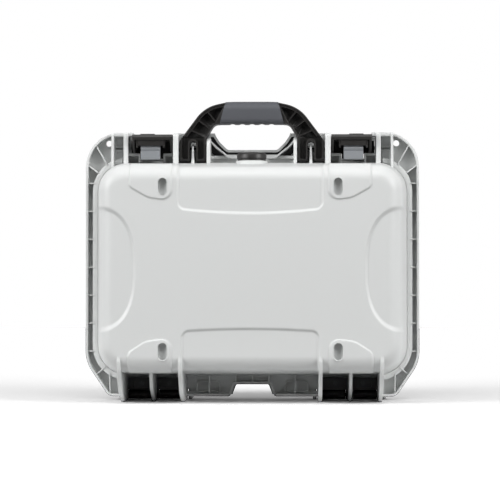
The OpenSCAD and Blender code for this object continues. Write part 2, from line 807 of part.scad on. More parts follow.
module claw_spring() color(steel) {
    last = spring_turns * spring_steps;
    points = [for (i = [0:last])
                let (c = spring_point(i),
                     a = 360 * i / spring_steps + 90)
                for (k = [0:wire_sides - 1])
                    let (b = 360 * k / wire_sides)
                    c + wire_r * [cos(b), sin(b) * cos(a), sin(b) * sin(a)]];
    sides = [for (i = [0:last - 1], k = [0:wire_sides - 1])
                let (m = (k + 1) % wire_sides)
                [i * wire_sides + k, (i + 1) * wire_sides + k, (i + 1) * wire_sides + m, i * wire_sides + m]];
    polyhedron(points, concat(sides, [[for (k = [0:wire_sides - 1]) k]],
                              [[for (k = [wire_sides - 1:-1:0]) last * wire_sides + k]]), convexity = 6);
}

module latch_lever_left() at_latch() latch_lever();

module latch_lever_right() mirror([1, 0, 0]) latch_lever_left();

module latch_pin_left() at_latch() latch_pin();

module latch_pin_right() mirror([1, 0, 0]) latch_pin_left();

module claw_pin_left() at_latch() claw_pin();

module claw_pin_right() mirror([1, 0, 0]) claw_pin_left();

module claw_spring_left() at_latch() claw_spring();

module claw_spring_right() mirror([1, 0, 0]) claw_spring_left();

module latch_claw_left() at_latch() latch_claw();

module latch_claw_right() mirror([1, 0, 0]) latch_claw_left();

module latch_slide_left() at_latch() latch_slide();

module latch_slide_right() mirror([1, 0, 0]) latch_slide_left();

base_shell();
lid_shell();
lid_gasket();
base_foam_floor();
base_foam_tray();
lid_foam();
handle_frame();
handle_grip();
handle_pin_left();
handle_pin_right();
valve_body();
valve_cap();
valve_oring();
valve_membrane();
valve_nut();
hinge_base_leaf_left();
hinge_base_leaf_right();
hinge_lid_leaf_left();
hinge_lid_leaf_right();
hinge_pin_left();
hinge_pin_right();
hinge_base_screws();
hinge_lid_screws();
latch_lever_left();
latch_lever_right();
latch_pin_left();
latch_pin_right();
claw_pin_left();
claw_pin_right();
claw_spring_left();
claw_spring_right();
latch_claw_left();
latch_claw_right();
latch_slide_left();
latch_slide_right();
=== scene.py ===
"""A silver hard case for a folding drone, standing on its hinge side with the handle up.

Lengths in this script are millimetres in the frame's own axes: X across the case, Y from the base
(towards the camera) to the lid, Z up. They become metres when a mesh is made.
"""

import json
import math

import bmesh
import bpy
import numpy as np
from mathutils import Matrix, Vector


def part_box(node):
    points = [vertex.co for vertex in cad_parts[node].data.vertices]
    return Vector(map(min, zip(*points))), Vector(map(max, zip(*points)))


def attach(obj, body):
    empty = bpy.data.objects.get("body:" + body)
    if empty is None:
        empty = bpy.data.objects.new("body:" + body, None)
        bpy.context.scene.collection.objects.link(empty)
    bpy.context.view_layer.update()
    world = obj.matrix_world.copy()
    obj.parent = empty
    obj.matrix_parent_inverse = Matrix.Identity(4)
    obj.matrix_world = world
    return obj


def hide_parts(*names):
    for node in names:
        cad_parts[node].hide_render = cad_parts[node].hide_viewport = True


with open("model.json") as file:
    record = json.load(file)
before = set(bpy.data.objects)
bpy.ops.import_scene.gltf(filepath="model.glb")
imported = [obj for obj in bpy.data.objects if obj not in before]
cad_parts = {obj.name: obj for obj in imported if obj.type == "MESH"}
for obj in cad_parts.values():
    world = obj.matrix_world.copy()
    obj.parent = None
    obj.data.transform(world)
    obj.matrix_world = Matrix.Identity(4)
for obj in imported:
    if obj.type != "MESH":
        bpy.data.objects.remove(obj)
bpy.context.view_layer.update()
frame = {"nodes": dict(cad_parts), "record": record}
MM = 0.001

scene = bpy.context.scene
scene.view_settings.view_transform = "Standard"


def cad(node):
    """Lowest and highest corner of a CAD node, in millimetres."""
    return [[c / MM for c in corner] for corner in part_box(node)]


# ---- sizes that follow from the frame ----
JOINTS = {j["name"]: j for j in frame["record"]["behaviour"]["joints"]}
BASE_LOW, BASE_HIGH = cad("base_shell")
LID_LOW, LID_HIGH = cad("lid_shell")
HALF_W = BASE_HIGH[0]
FLANGE_TOP = BASE_HIGH[2]
PART_Y = JOINTS["lid_hinge"]["pos_m"][1] / MM
HINGE_Z = JOINTS["lid_hinge"]["pos_m"][2] / MM
SEAM = LID_LOW[1] - PART_Y
BASE_TOP = PART_Y - SEAM
LID_BOTTOM = PART_Y + SEAM
PIVOT_Y = JOINTS["handle_fold"]["pos_m"][1] / MM
PIVOT_Z = JOINTS["handle_fold"]["pos_m"][2] / MM
LEVER_Y = JOINTS["latch_left_swing"]["pos_m"][1] / MM
LEVER_Z = JOINTS["latch_left_swing"]["pos_m"][2] / MM
LATCH_X = -JOINTS["latch_left_swing"]["pos_m"][0] / MM

# ---- sizes shared by both shells ----
WALL = 3.5
PLATE = 3.5
LIP = 3.0
MID_Z = 166.5
FLANGE_LOW = 4.5
PAD_H = 1.5
BASE_FACE = BASE_LOW[1] + PAD_H
LID_FACE = LID_HIGH[1] - PAD_H
RIM = (HALF_W - 14, 136.0, 38.0)  # half width, half height and corner radius of a tub at its rim
# A tub's rim and face along Y, its floor as (half width, half height, corner radius), its edge radius.
BASE_TUB = (BASE_TOP, BASE_FACE, (HALF_W - 24.5, 127.5, 32.0), 20.0)
LID_TUB = (LID_BOTTOM, LID_FACE, (HALF_W - 18, 132.0, 34.0), 16.0)
BASE_DIP, LID_DIP, NOTCH_STEP = 312.4, 318.6, 2.2
RIB_IN, RIB_MID, RIB_OUT = 86.0, 123.6, 161.0
BAY_OUT, BAY_IN, BAY_Z = LATCH_X + 28.5, LATCH_X - 28.4, 313.4
LEG_IN, LEG_OUT, FORK_X = 57.4, 91.6, 74.6
SCREW_X = (-RIB_MID - 17.5, -RIB_MID + 17.5)
SCREW_Z = 20.5
PIN_BORE, SCREW_BORE = 2.05, 1.55
PADLOCK_X, PADLOCK_Z, PADLOCK_R = 183.7, 326.9, 4.05
SLOT_X, SLOT_Z = 107.4, (266.1, 64.5)
CLAW_GAP = 14.55  # half the width of the notch that a claw hangs in
CLAW_Y, CLAW_Z, CLAW_BORE = 4, 324, 1.56
VALVE_Y = -3
GRIP_LOW, GRIP_TOP = cad("handle_grip")[0][2], cad("handle_grip")[1][2]
HAND_RIB_R = 15.2  # rounding of the rib beside a handle leg, about the handle's pin
HINGE_RIB_HALF = 2.25
ROOT_Z = 290  # inside the tub's front wall, where the ribs on it start
FOAM_GAP = 0.9


# ---- outlines ----
def corner_points(a, b, c, r, n):
    """Points of the arc that rounds corner b, between a and c."""
    a, b, c = Vector(a), Vector(b), Vector(c)
    if r <= 0:
        return [tuple(b)]
    u, v = (a - b).normalized(), (c - b).normalized()
    half = u.angle(v) / 2
    centre = b + (u + v).normalized() * r / math.sin(half)
    p = b + u * r / math.tan(half) - centre
    q = b + v * r / math.tan(half) - centre
    start = math.atan2(p.y, p.x)
    turn = (math.atan2(q.y, q.x) - start + 5 * math.pi) % (2 * math.pi) - math.pi
    return [
        tuple(centre + r * Vector((math.cos(start + turn * i / n), math.sin(start + turn * i / n))))
        for i in range(n + 1)
    ]


def outline(corners, n=8):
    """Closed outline from corners given as (u, v, radius)."""
    points = []
    for i, (u, v, r) in enumerate(corners):
        before, after = corners[i - 1], corners[(i + 1) % len(corners)]
        points += corner_points(before[:2], (u, v), after[:2], r, n)
    return points


def inset(corners, t):
    """The same corners moved inwards by t, for a convex outline."""
    moved = []
    for i, (u, v, r) in enumerate(corners):
        b = Vector((u, v))
        p = (Vector(corners[i - 1][:2]) - b).normalized()
        q = (Vector(corners[(i + 1) % len(corners)][:2]) - b).normalized()
        step = (p + q).normalized() * t / math.sin(p.angle(q) / 2)
        moved.append((u + step.x, v + step.y, max(r - t, 0.5)))
    return moved


def mirrored(corners):
    return list(corners) + [(-u, v, r) for u, v, r in reversed(corners)]


def rim_corners(grow):
    hw, hh, r = RIM
    return mirrored([(-hw - grow, MID_Z + hh + grow, r + grow), (-hw - grow, MID_Z - hh - grow, r + grow)])


FLANGE = mirrored([(-HALF_W, FLANGE_TOP, 44), (-HALF_W, 48.4, 47), (-182.6, FLANGE_LOW, 12)])


def dip(z, s):
    """Outline of the dip under the hand, with its floor at z and its sides s further in."""
    return mirrored([(-60, 360, 0), (-50.5 + s, 344, 0), (-48.5 + s, z + 18, 3), (-43 + s, z + 10, 12),
                     (-33 + s, z, 6)])


def notch(t):
    """Outline of the notch at the middle of the hinge side, moved outwards by t."""
    return mirrored([(-21 - t, 19 + t, 3), (-27 - t, 3, 0), (-27 - t, -2, 0)])


PAD_TOP = [(-147.6, 330, 0), (-147.6, 266, 6), (-124, 252.5, 30), (-95.9, 249.5, 12), (-95.9, 330, 0)]
PAD_LOW = [(-149.6, 0, 0), (-149.6, 63, 10), (-128, 77, 24), (-96.7, 81, 12), (-96.7, 0, 0)]


def slot_corners(x, z, grow=0.0):
    hw, hh = 5.5 + grow, 10.5 + grow
    return [(x - hw, z + hh, hw - 0.01), (x - hw, z - hh, hw - 0.01), (x + hw, z - hh, hw - 0.01),
            (x + hw, z + hh, hw - 0.01)]


# ---- meshes ----
def mesh_object(name, points, faces):
    """Object from points in millimetres."""
    mesh = bpy.data.meshes.new(name)
    mesh.from_pydata([tuple(c * MM for c in p) for p in points], [], [tuple(map(int, f)) for f in faces])
    mesh.validate()
    obj = bpy.data.objects.new(name, mesh)
    scene.collection.objects.link(obj)
    return obj


def finished(obj, bevel):
    """Turns the faces outwards and rounds the sharp edges by bevel."""
    bm = bmesh.new()
    bm.from_mesh(obj.data)
    bmesh.ops.recalc_face_normals(bm, faces=bm.faces)
    if bevel > 0:
        sharp = [e for e in bm.edges if e.is_manifold and e.calc_face_angle(0) > math.radians(32)]
        bmesh.ops.bevel(bm, geom=sharp, offset=bevel * MM, segments=2, profile=0.6, affect="EDGES",
                        clamp_overlap=True)
    bm.to_mesh(obj.data)
    bm.free()
    return obj


def prism(points, low, high, place, bevel):
    """Closed prism: place(u, v, w) puts outline point (u, v) at depth w."""
    n = len(points)
    verts = [place(u, v, low) for u, v in points] + [place(u, v, high) for u, v in points]
    faces = [(i, (i + 1) % n, n + (i + 1) % n, n + i) for i in range(n)]
    faces += [tuple(range(n)), tuple(range(2 * n - 1, n - 1, -1))]
    return finished(mesh_object("part", verts, faces), bevel)


def along_y(corners, y0, y1, bevel=0.5, n=8):
    return prism(outline(corners, n), y0, y1, lambda u, v, w: (u, w, v), bevel)


def along_x(corners, x0, x1, bevel=0.5, n=6):
    return prism(outline(corners, n), x0, x1, lambda u, v, w: (w, u, v), bevel)


def block(x0, x1, y0, y1, z0, z1, bevel=0.4):
    return along_y([(x0, z0, 0), (x1, z0, 0), (x1, z1, 0), (x0, z1, 0)], y0, y1, bevel)


def ring(outer, inner, y0, y1, bevel=0.5, n=10):
    """Ring along Y between two outlines with the same number of corners."""
    a, b = outline(outer, n), outline(inner, n)
    k = len(a)
    verts = [(u, y, v) for y in (y0, y1) for loop in (a, b) for u, v in loop]
    faces = []
    for i in range(k):
        j = (i + 1) % k
        faces += [(i, j, k + j, k + i), (2 * k + i, 3 * k + i, 3 * k + j, 2 * k + j),
                  (i, 2 * k + i, 2 * k + j, j), (k + i, k + j, 3 * k + j, 3 * k + i)]
    return finished(mesh_object("ring", verts, faces), bevel)


def circle(u, v, r, n=32):
    return [(u + r * math.cos(2 * math.pi * i / n), v + r * math.sin(2 * math.pi * i / n)) for i in range(n)]


def rod_x(x0, x1, y, z, r, bevel=0.0, n=40):
    return prism(circle(y, z, r, n), x0, x1, lambda u, v, w: (w, u, v), bevel)


def rod_y(y0, y1, x, z, r, bevel=0.0, n=40):
    return prism(circle(x, z, r, n), y0, y1, lambda u, v, w: (u, w, v), bevel)


def lathe(profile, centre, n=64):
    """Solid of revolution about Z from (radius, height) points; the first and last lie on the axis."""
    cx, cy, cz = centre
    inner = profile[1:-1]
    verts = [(cx, cy, cz + profile[0][1]), (cx, cy, cz + profile[-1][1])]
    for r, h in inner:
        verts += [(cx + r * math.cos(2 * math.pi * i / n), cy + r * math.sin(2 * math.pi * i / n), cz + h)
                  for i in range(n)]
    faces = []
    last = 2 + (len(inner) - 1) * n
    for i in range(n):
        j = (i + 1) % n
        faces += [(0, 2 + j, 2 + i), (1, last + i, last + j)]
        for k in range(len(inner) - 1):
            a, b = 2 + k * n, 2 + (k + 1) * n
            faces.append((a + i, a + j, b + j, b + i))
    return finished(mesh_object("lathe", verts, faces), 0)


def mirror_copy(obj):
    """Copy of obj on the other side of the case."""
    mesh = obj.data.copy()
    mesh.transform(Matrix.Scale(-1, 4, Vector((1, 0, 0))))
    mesh.flip_normals()
    copy = bpy.data.objects.new(obj.name, mesh)
    scene.collection.objects.link(copy)
    return copy


def both(parts):
    return list(parts) + [mirror_copy(p) for p in parts]


def applied(obj):
    """Applies obj's modifiers."""
    depsgraph = bpy.context.evaluated_depsgraph_get()
    mesh = bpy.data.meshes.new_from_object(obj.evaluated_get(depsgraph))
    obj.modifiers.clear()
    obj.data = mesh
    return obj


def combined(obj, others, operation):
    """Boolean of obj with each of the others, which are used up."""
    for other in others:
        step = obj.modifiers.new("boolean", "BOOLEAN")
        step.operation = operation
        step.solver = "MANIFOLD"
        step.object = other
    applied(obj)
    for other in others:
        bpy.data.objects.remove(other)
    return obj


def broken_edges(obj, width):
    """Rounds every sharp edge of a finished part."""
    step = obj.modifiers.new("edges", "BEVEL")
    step.width = width * MM
    step.segments = 2
    step.limit_method = "ANGLE"
    step.angle_limit = math.radians(50)
    return applied(obj)


def union(parts):
    return combined(parts[0], parts[1:], "UNION") if len(parts) > 1 else parts[0]


def cut(obj, cutters):
    return combined(obj, cutters, "DIFFERENCE")


def common(obj, other):
    return combined(obj, [other], "INTERSECT")


# ---- relief on the tubs ----
def polygon_distance(x, z, corners):
    """Signed distance of points from a closed outline, negative inside."""
    points = np.array(outline(corners, 10))
    best = np.full(x.shape, 1e9)
    inside = np.zeros(x.shape, bool)
    for (ax, az), (bx, bz) in zip(points, np.roll(points, -1, axis=0)):
        dx, dz = bx - ax, bz - az
        length2 = dx * dx + dz * dz
        if length2 < 1e-12:
            continue
        t = np.clip(((x - ax) * dx + (z - az) * dz) / length2, 0, 1)
        best = np.minimum(best, np.hypot(x - ax - t * dx, z - az - t * dz))
        crosses = (az > z) != (bz > z)
        inside ^= crosses & (x < ax + (z - az) * dx / np.where(dz == 0, 1e-9, dz))
    return np.where(inside, -best, best)


def smooth(t):
    t = np.clip(t, 0, 1)
    return t * t * (3 - 2 * t)


def raised(distance, width):
    """1 inside an outline and 0 outside it, with a soft edge of that width."""
    return smooth(0.5 - distance / width)


def relief(x, z):
    """Height of the tub's face above its plain surface, in mm."""
    ax = -np.abs(x)
    top_edge = 234.0 + 5.3 * (x / 88.5) ** 2
    low_edge = 92.3 - 3.0 * (x / 83.5) ** 2
    top = rounded_max(np.abs(x) - 88.5, top_edge - z, 8.0)
    low = rounded_max(np.abs(x) - 83.5, z - low_edge, 8.0)
    lobe_a = np.abs((ax + 190) / 48.0)
    lobe_b = np.abs((z - 165.5) / 74.5)
    lobe = ((np.where(ax > -190, lobe_a, 0) ** 2.5 + lobe_b ** 2.5) ** (1 / 2.5) - 1) * 52
    height = -1.9 * raised(top, 3.4) - 1.9 * raised(low, 3.4) - 2.3 * raised(lobe, 4.6)
    pads = np.minimum(polygon_distance(ax, z, PAD_TOP), polygon_distance(ax, z, PAD_LOW))
    return height + PAD_H * raised(pads, 1.9)


def rounded_max(a, b, r):
    """Distance to the common part of two half spaces, with its corner rounded by r."""
    outside = np.hypot(np.maximum(a + r, 0), np.maximum(b + r, 0)) - r
    return np.where((a + r > 0) & (b + r > 0), outside, np.maximum(a, b))


def rim_loop(hw, hh, r, counts):
    """Points of a rounded rectangle and their outward directions."""
    nx, nz, nc = counts
    pieces = []
    sides = [((-(hw - r), hh), (hw - r, hh), (0, 1), nx), ((hw, hh - r), (hw, -(hh - r)), (1, 0), nz),
             ((hw - r, -hh), (-(hw - r), -hh), (0, -1), nx), ((-hw, -(hh - r)), (-hw, hh - r), (-1, 0), nz)]
    for k, (a, b, n, count) in enumerate(sides):
        t = np.arange(count)[:, None] / count
        pieces.append(np.hstack([np.array(a) * (1 - t) + np.array(b) * t, np.tile(n, (count, 1))]))
        start = math.radians(90 - 90 * k)
        angle = start - np.arange(nc)[:, None] / nc * math.pi / 2
        direction = np.hstack([np.cos(angle), np.sin(angle)])
        centre = np.array(b) - r * np.array(n)
        pieces.append(np.hstack([centre + r * direction, direction]))
    return np.vstack(pieces)


def tub(rim_y, face_y, floor, edge_r):
    """One shell's tub: outside with relief, rim and inside, closed."""
    counts = (260, 170, 26)
    side = 1 if face_y > rim_y else -1
    hw, hh, r = RIM
    fw, fh, fr = floor
    loops = []

    def add(y, w, h, radius, tilt, strength):
        ring_points = rim_loop(w, h, max(radius, 0.4), counts)
        x, z = ring_points[:, 0], ring_points[:, 1] + MID_Z
        lift = relief(x, z) * strength if strength > 0 else np.zeros(len(x))
        out = math.cos(tilt) * lift
        loops.append(np.stack([x + ring_points[:, 2] * out, np.full(len(x), y) + side * math.sin(tilt) * lift,
                               z + ring_points[:, 3] * out], axis=1))

    depth = abs(face_y - rim_y)
    wall_steps = 14
    for i in range(wall_steps):
        t = i / wall_steps
        y = rim_y + side * (depth - edge_r) * t
        fade = float(smooth(np.array((t - 0.55) / 0.45)))
        add(y, hw + (fw - hw) * t, hh + (fh - hh) * t, r + (fr - r) * t, 0.0, fade)
    round_steps = 18
    for i in range(round_steps):
        a = math.pi / 2 * i / round_steps
        shrink = edge_r * (1 - math.cos(a))
        add(face_y - side * edge_r * (1 - math.sin(a)), fw - shrink, fh - shrink, fr - shrink, a, 1.0)
    floor_steps = 92
    last = fh - edge_r - 0.6
    for i in range(floor_steps + 1):
        t = i / floor_steps
        shrink = edge_r + last * t
        add(face_y, fw - shrink, fh - shrink, (fr - edge_r) * (1 - t) + 0.3, math.pi / 2, 1.0)
    outer = len(loops)
    for y, w, h, radius in tub_inside(rim_y, face_y, floor, edge_r):
        add(y, w, h, radius, 0.0, 0.0)
    n = len(loops[0])
    verts = np.vstack(loops)
    order = list(range(outer - 1, -1, -1)) + list(range(outer, len(loops)))
    faces = []
    index = np.arange(n)
    following = (index + 1) % n
    for a, b in zip(order, order[1:]):
        faces.append(np.stack([a * n + index, a * n + following, b * n + following, b * n + index], axis=1))
    faces = np.vstack(faces).tolist()
    for level in (order[0], order[-1]):
        faces += cap_faces(level * n, counts)
    return finished(mesh_object("tub", verts, faces), 0)


def tub_inside(rim_y, face_y, floor, edge_r):
    """Loops inside a tub from its rim to its floor, as (y, half width, half height, radius)."""
    side = 1 if face_y > rim_y else -1
    hw, hh, r = RIM
    fw, fh, fr = floor
    depth = abs(face_y - rim_y)
    inner_edge = edge_r - WALL
    inside = []
    for i in range(6):
        t = i / 5
        inside.append((rim_y + side * (depth - edge_r) * t, hw + (fw - hw) * t - WALL,
                       hh + (fh - hh) * t - WALL, r + (fr - r) * t - WALL))
    for i in range(1, 9):
        a = math.pi / 2 * i / 8
        shrink = inner_edge * (1 - math.cos(a)) + WALL
        inside.append((face_y - side * WALL - side * inner_edge * (1 - math.sin(a)), fw - shrink, fh - shrink,
                       fr - shrink))
    inside.append((face_y - side * WALL, fw - fh + 0.6, 0.6, 0.4))
    return inside


def cap_faces(start, counts):
    """Quads and end fans that close the slit left by the innermost loop."""
    nx, nz, nc = counts
    n = 2 * (nx + nz + 2 * nc)
    bottom = nx + nz + 2 * nc
    faces = [(start + i, start + i + 1, start + bottom + nx - i - 1, start + bottom + nx - i)
             for i in range(nx)]
    right = [start + i for i in range(nx, bottom + 1)]
    left = [start + i % n for i in range(bottom + nx, n + 1)]
    return faces + [tuple(right), tuple(left)]


# ---- parts that both flanges have ----
def flange_plate(y0, y1, dip_z, dip_s, notch_t, gap):
    plate = along_y(FLANGE, y0, y1, 0.5, 10)
    far, near = y0 - 5, y1 + 5
    cutters = [along_y(notch(notch_t), far, near, 0), along_y(dip(dip_z, dip_s), far, near, 0),
               along_y(rim_corners(-2), far, near, 0, 12)]
    for s in (-1, 1):
        bay = sorted((s * BAY_IN, s * BAY_OUT))
        hinge = sorted((s * (RIB_IN - gap), s * (RIB_OUT + 6)))
        cutters += [block(*bay, far, near, BAY_Z, FLANGE_TOP + 9, 0), block(*hinge, far, near, -3, 13, 0),
                    rod_y(far, near, s * PADLOCK_X, PADLOCK_Z, PADLOCK_R)]
    return cut(plate, cutters)


def flange_lip(y0, y1, bezel):
    """The turned-in rim at the flange's edge, left out across the latches, handle and hinges."""
    lip = ring(FLANGE, inset(FLANGE, LIP), y0, y1, 0.7, 12)
    far, near = y0 - 2, y1 + 2
    gaps = [block(-bezel, bezel, far, near, 60, FLANGE_TOP + 5, 0)]
    for s in (-1, 1):
        gaps.append(block(*sorted((s * (RIB_IN - 2), s * (RIB_OUT + 3))), far, near, -3, 30, 0))
    gaps.append(block(-30, 30, far, near, -3, 30, 0))
    return cut(lip, gaps)


def rim_band(y0, y1, clear_x):
    """Ledge against the tub, along the sides and corners."""
    band = ring(rim_corners(5.5), rim_corners(-1.2), y0, y1, 0.7, 14)
    return cut(band, [block(-clear_x, clear_x, y0 - 2, y1 + 2, -5, FLANGE_TOP + 5, 0)])


def channel_ribs(y0, y1):
    """Thin ribs that cross the channel between the lip and the ledge, for the left side."""
    thick = 1.5
    ribs = [block(-HALF_W + 1.5, -RIM[0] - 3, y0, y1, z - thick / 2, z + thick / 2, 0.3)
            for z in (168.4 + 35.6 * i for i in range(-3, 4))]
    for x, z, angle, length in ((-166, 266, 143.5, 70), (-166, 266, 120, 70), (-187, 42, 221, 22)):
        u = Vector((math.cos(math.radians(angle)), math.sin(math.radians(angle))))
        v = Vector((-u.y, u.x)) * thick / 2
        start = Vector((x, z)) + u * (38 if length > 30 else 0)
        end = Vector((x, z)) + u * length
        corners = (start + v, start - v, end - v, end + v)
        ribs.append(along_y([(*p, 0) for p in corners], y0, y1, 0.3))
    ribs.append(block(-182.1, -180.6, y0, y1, FLANGE_LOW + 1, 34, 0.3))
    limit = along_y(inset(FLANGE, 1.2), y0 - 1, y1 + 1, 0, 10)
    inner = along_y(rim_corners(-1), y0 - 2, y1 + 2, 0, 12)
    return cut(common(union(ribs), limit), [inner])


def front_rib(x, w, y0, z1, r):
    """Upright rib between the tub's front wall and the flange's top, rounded at its free corner."""
    profile = [(y0, ROOT_Z, 0), (y0, z1, r), (BASE_TOP, z1, 0), (BASE_TOP, ROOT_Z, 0)]
    return along_x(profile, x - w / 2, x + w / 2, 0.7)


def slots_and_rims(face_y, side):
    """Cutters, raised rims and closed wells of the four stacking slots."""
    cutters, rims, wells = [], [], []
    for s in (-1, 1):
        for z in SLOT_Z:
            x = s * SLOT_X
            depth = sorted((face_y + side * 4, face_y - side * 5.6))
            cutters.append(along_y(slot_corners(x, z), *depth, 0, 14))
            well = sorted((face_y - side * 2, face_y - side * 7.2))
            wells.append(along_y(slot_corners(x, z, 2.0), *well, 0, 14))
            rim = sorted((face_y - side * 3, face_y + side * PAD_H))
            rims.append(ring(slot_corners(x, z, 1.5), slot_corners(x, z, 0.01), *rim, 0.3, 14))
    return cutters, rims, wells


# ---- base shell ----
def hinge_rib(x):
    """Foot rib that the case stands on. It runs out onto the base's face."""
    profile = [(BASE_TOP, 0, 0), (-22, 0, 16), (-58, 12, 30), (-84, 36, 24), (BASE_LOW[1], 52, 8),
               (BASE_FACE + 1, 62, 3), (-60, 66, 0), (BASE_TOP, 40, 0)]
    return along_x(profile, x - HINGE_RIB_HALF, x + HINGE_RIB_HALF, 0.9, 8)


def fork_rib():
    """Rib between the prongs of the left handle leg, narrower towards its top."""
    low, high, top = 4.4, 2.0, 323.6
    rib = along_y([(-FORK_X - low / 2, 292, 0), (-FORK_X - high / 2, top, 0.8),
                   (-FORK_X + high / 2, top, 0.8), (-FORK_X + low / 2, 292, 0)], 1, BASE_TOP - 0.5, 0.4)
    x0, x1 = -FORK_X - 4, -FORK_X + 4
    keep = union([rod_x(x0, x1, PIVOT_Y, PIVOT_Z, 8.9), block(x0, x1, 1, BASE_TOP, ROOT_Z, PIVOT_Z, 0),
                  block(x0, x1, PIVOT_Y, BASE_TOP, ROOT_Z, top + 1, 0)])
    return common(rib, keep)


def base_front_parts():
    """Ribs, ledges and bezel along the left half of the front."""
    return [
        front_rib(-177.5, 3.3, 12, 339, 3),
        front_rib(-160, 6, 6, 339, 3),
        front_rib(-96, 6.8, -6, 337.7, 6),
        front_rib(-54.8, 4.3, PIVOT_Y - HAND_RIB_R, PIVOT_Z + HAND_RIB_R, HAND_RIB_R),
        block(-179, -152, 14, BASE_TOP, 334.8, 339.3, 0.8),
        ring([(-176, 303, 2), (-161, 303, 2), (-161, 318.8, 2), (-176, 318.8, 2)],
             [(-174, 305, 1), (-163, 305, 1), (-163, 316.8, 1), (-174, 316.8, 1)], 28.5, BASE_TOP - 0.6, 0.4),
        ring([(-176, 321.2, 2), (-161, 321.2, 2), (-161, 336, 2), (-176, 336, 2)],
             [(-174, 323.2, 1), (-163, 323.2, 1), (-163, 334, 1), (-174, 334, 1)], 28.5, BASE_TOP - 0.6, 0.4),
        block(-157.5, -143, 18, BASE_TOP, 310, BAY_Z, 0.6),
        block(-113, -99, 18, BASE_TOP, 310, BAY_Z, 0.6),
        block(-145, -142.6, 18, BASE_TOP, 295, BAY_Z, 0.5),
        block(-113.2, -110.8, 18, BASE_TOP, 295, BAY_Z, 0.5),
        fork_rib(),
        dip_rib(),
        block(-55, -18, 27, BASE_TOP - 0.6, 307, 310.8, 0.6),
    ]


def dip_edge(t, y0, y1):
    """Prism of the lid's dip, moved outwards by t and cut off at the lip's top."""
    s = 1.2
    corners = mirrored([(-50 + s, 360, 0), (-48.5 + s, LID_DIP + 18, 3), (-43 + s, LID_DIP + 10, 12),
                        (-33 + s, LID_DIP, 6)])
    return along_y(inset(corners, -t), y0, y1, 0, 8)


def dip_band(t0, t1, y0, y1, top=337.7):
    """Band along the lid's dip, from t0 to t1 outside its edge."""
    above = block(-70, 70, y0 - 2, y1 + 2, top, 400, 0)
    return cut(dip_edge(t1, y0, y1), [dip_edge(t0, y0 - 2, y1 + 2), above])


def dip_groove(t0, t1, y0, y1):
    """Band outside the lid's lip, between the legs: the groove that the dip's black strip of painted shadow
    lies in.
    """
    return common(dip_band(t0, t1, y0, y1, 335.5), block(-57, 57, y0 - 2, y1 + 2, 310.9, 340, 0))


def dip_shadow_strip():
    """Black strip in the groove: painted shadow, a dark sheet that stands in for the shade in the gap between
    the two shells.
    """
    return dip_groove(3.05, 16.9, LID_BOTTOM + 2.5, LID_BOTTOM + 9.4)


def notch_lip(y0, y1):
    """The base's thin lip round the notch in its hinge side."""
    outer = along_y(notch(NOTCH_STEP + 1.3), y0, y1, 0.3, 8)
    hollow = along_y(notch(NOTCH_STEP), y0 - 2, y1 + 2, 0, 8)
    return cut(outer, [hollow, block(-40, 40, y0 - 2, y1 + 2, -3, 5, 0)])


def dip_rib():
    """Curved rib beside the dip, on the left."""
    curve = [(-53.5, 331, 0), (-45.2, 322, 14), (-37.2, 315.9, 20), (-28.5, 308.2, 0), (-30.5, 307.3, 0),
             (-38.5, 314.4, 20), (-46.6, 320.4, 14), (-54.5, 329.2, 0)]
    return along_y(curve, 20, BASE_TOP - 0.6, 0.4, 6)


def base_hinge_parts():
    """Left half of the hinge side: foot ribs, knuckles and the thin ribs between them."""
    parts = []
    for x in (-RIB_IN, -RIB_OUT):
        knuckle = rod_x(x - HINGE_RIB_HALF, x + HINGE_RIB_HALF, PART_Y, HINGE_Z, HINGE_Z)
        parts += [hinge_rib(x), knuckle]
    parts.append(along_x([(24, 0, 0), (-4, 0, 10), (-44, 16, 24), (-58, 40, 0), (24, 40, 0)],
                         -RIB_MID - 2, -RIB_MID + 2, 0.6, 8))
    parts.append(block(-55.2, -53.8, 18, BASE_TOP, FLANGE_LOW + 1, 34, 0.3))
    parts.append(along_y([(-71.5, 9.4, 2), (-71.5, 23.7, 6), (-41.4, 23.7, 6), (-41.4, 9.4, 2)], 27,
                         BASE_TOP - 1, 0.8))
    return parts


def base_cutters():
    """Bores, slots and notches of the base, for the left side."""
    through = (BASE_TOP - PLATE - 1, BASE_TOP + 2)
    cutters = [
        block(-LATCH_X - CLAW_GAP, -LATCH_X + CLAW_GAP, 10, BASE_TOP + 6, 304.5, 330, 0),
        block(-LEG_OUT - 0.6, -LEG_IN + 0.6, BASE_TOP - PLATE - 0.5, BASE_TOP + 2, 323.7, 345, 0),
        rod_x(-103, -50, PIVOT_Y, PIVOT_Z, 2.55),
        rod_x(-RIB_OUT - 8, -RIB_IN + 8, PART_Y, HINGE_Z, PIN_BORE),
        block(-82.3, -72.5, 25, BASE_TOP + 2, 9.8, 15.8, 0),
        block(-45, -42.4, 25, BASE_TOP + 2, 9.8, 15.8, 0),
        block(-40.4, -36.3, 25, BASE_TOP + 2, 9.8, 15.8, 0),
        along_y([(-69.9, 10.8, 1), (-69.9, 22.1, 4), (-57.1, 22.1, 1), (-57.1, 10.8, 1)], 24, 33.6, 0),
        along_y([(-55.8, 10.8, 1), (-55.8, 22.1, 1), (-43, 22.1, 4), (-43, 10.8, 1)], 24, 33.6, 0),
        along_y([(-53.6, 345, 0), (-53.6, 331.3, 0), (-45.0, 322.3, 14), (-37.0, 316.2, 20),
                 (-33.2, 312.6, 0), (-25, 345, 0)], *through, 0),
        along_y([(-52.4, 311.2, 0), (-34.6, 311.2, 0), (-38.8, 314.2, 0), (-46.8, 320.2, 0),
                 (-52.4, 326.6, 0)], *through, 0),
        block(-175.6, -161.4, 27, BASE_TOP + 2, 318.9, 321.1, 0),
    ]
    cutters += [rod_y(20, BASE_TOP - 0.6, x, SCREW_Z, SCREW_BORE) for x in SCREW_X]
    return cutters


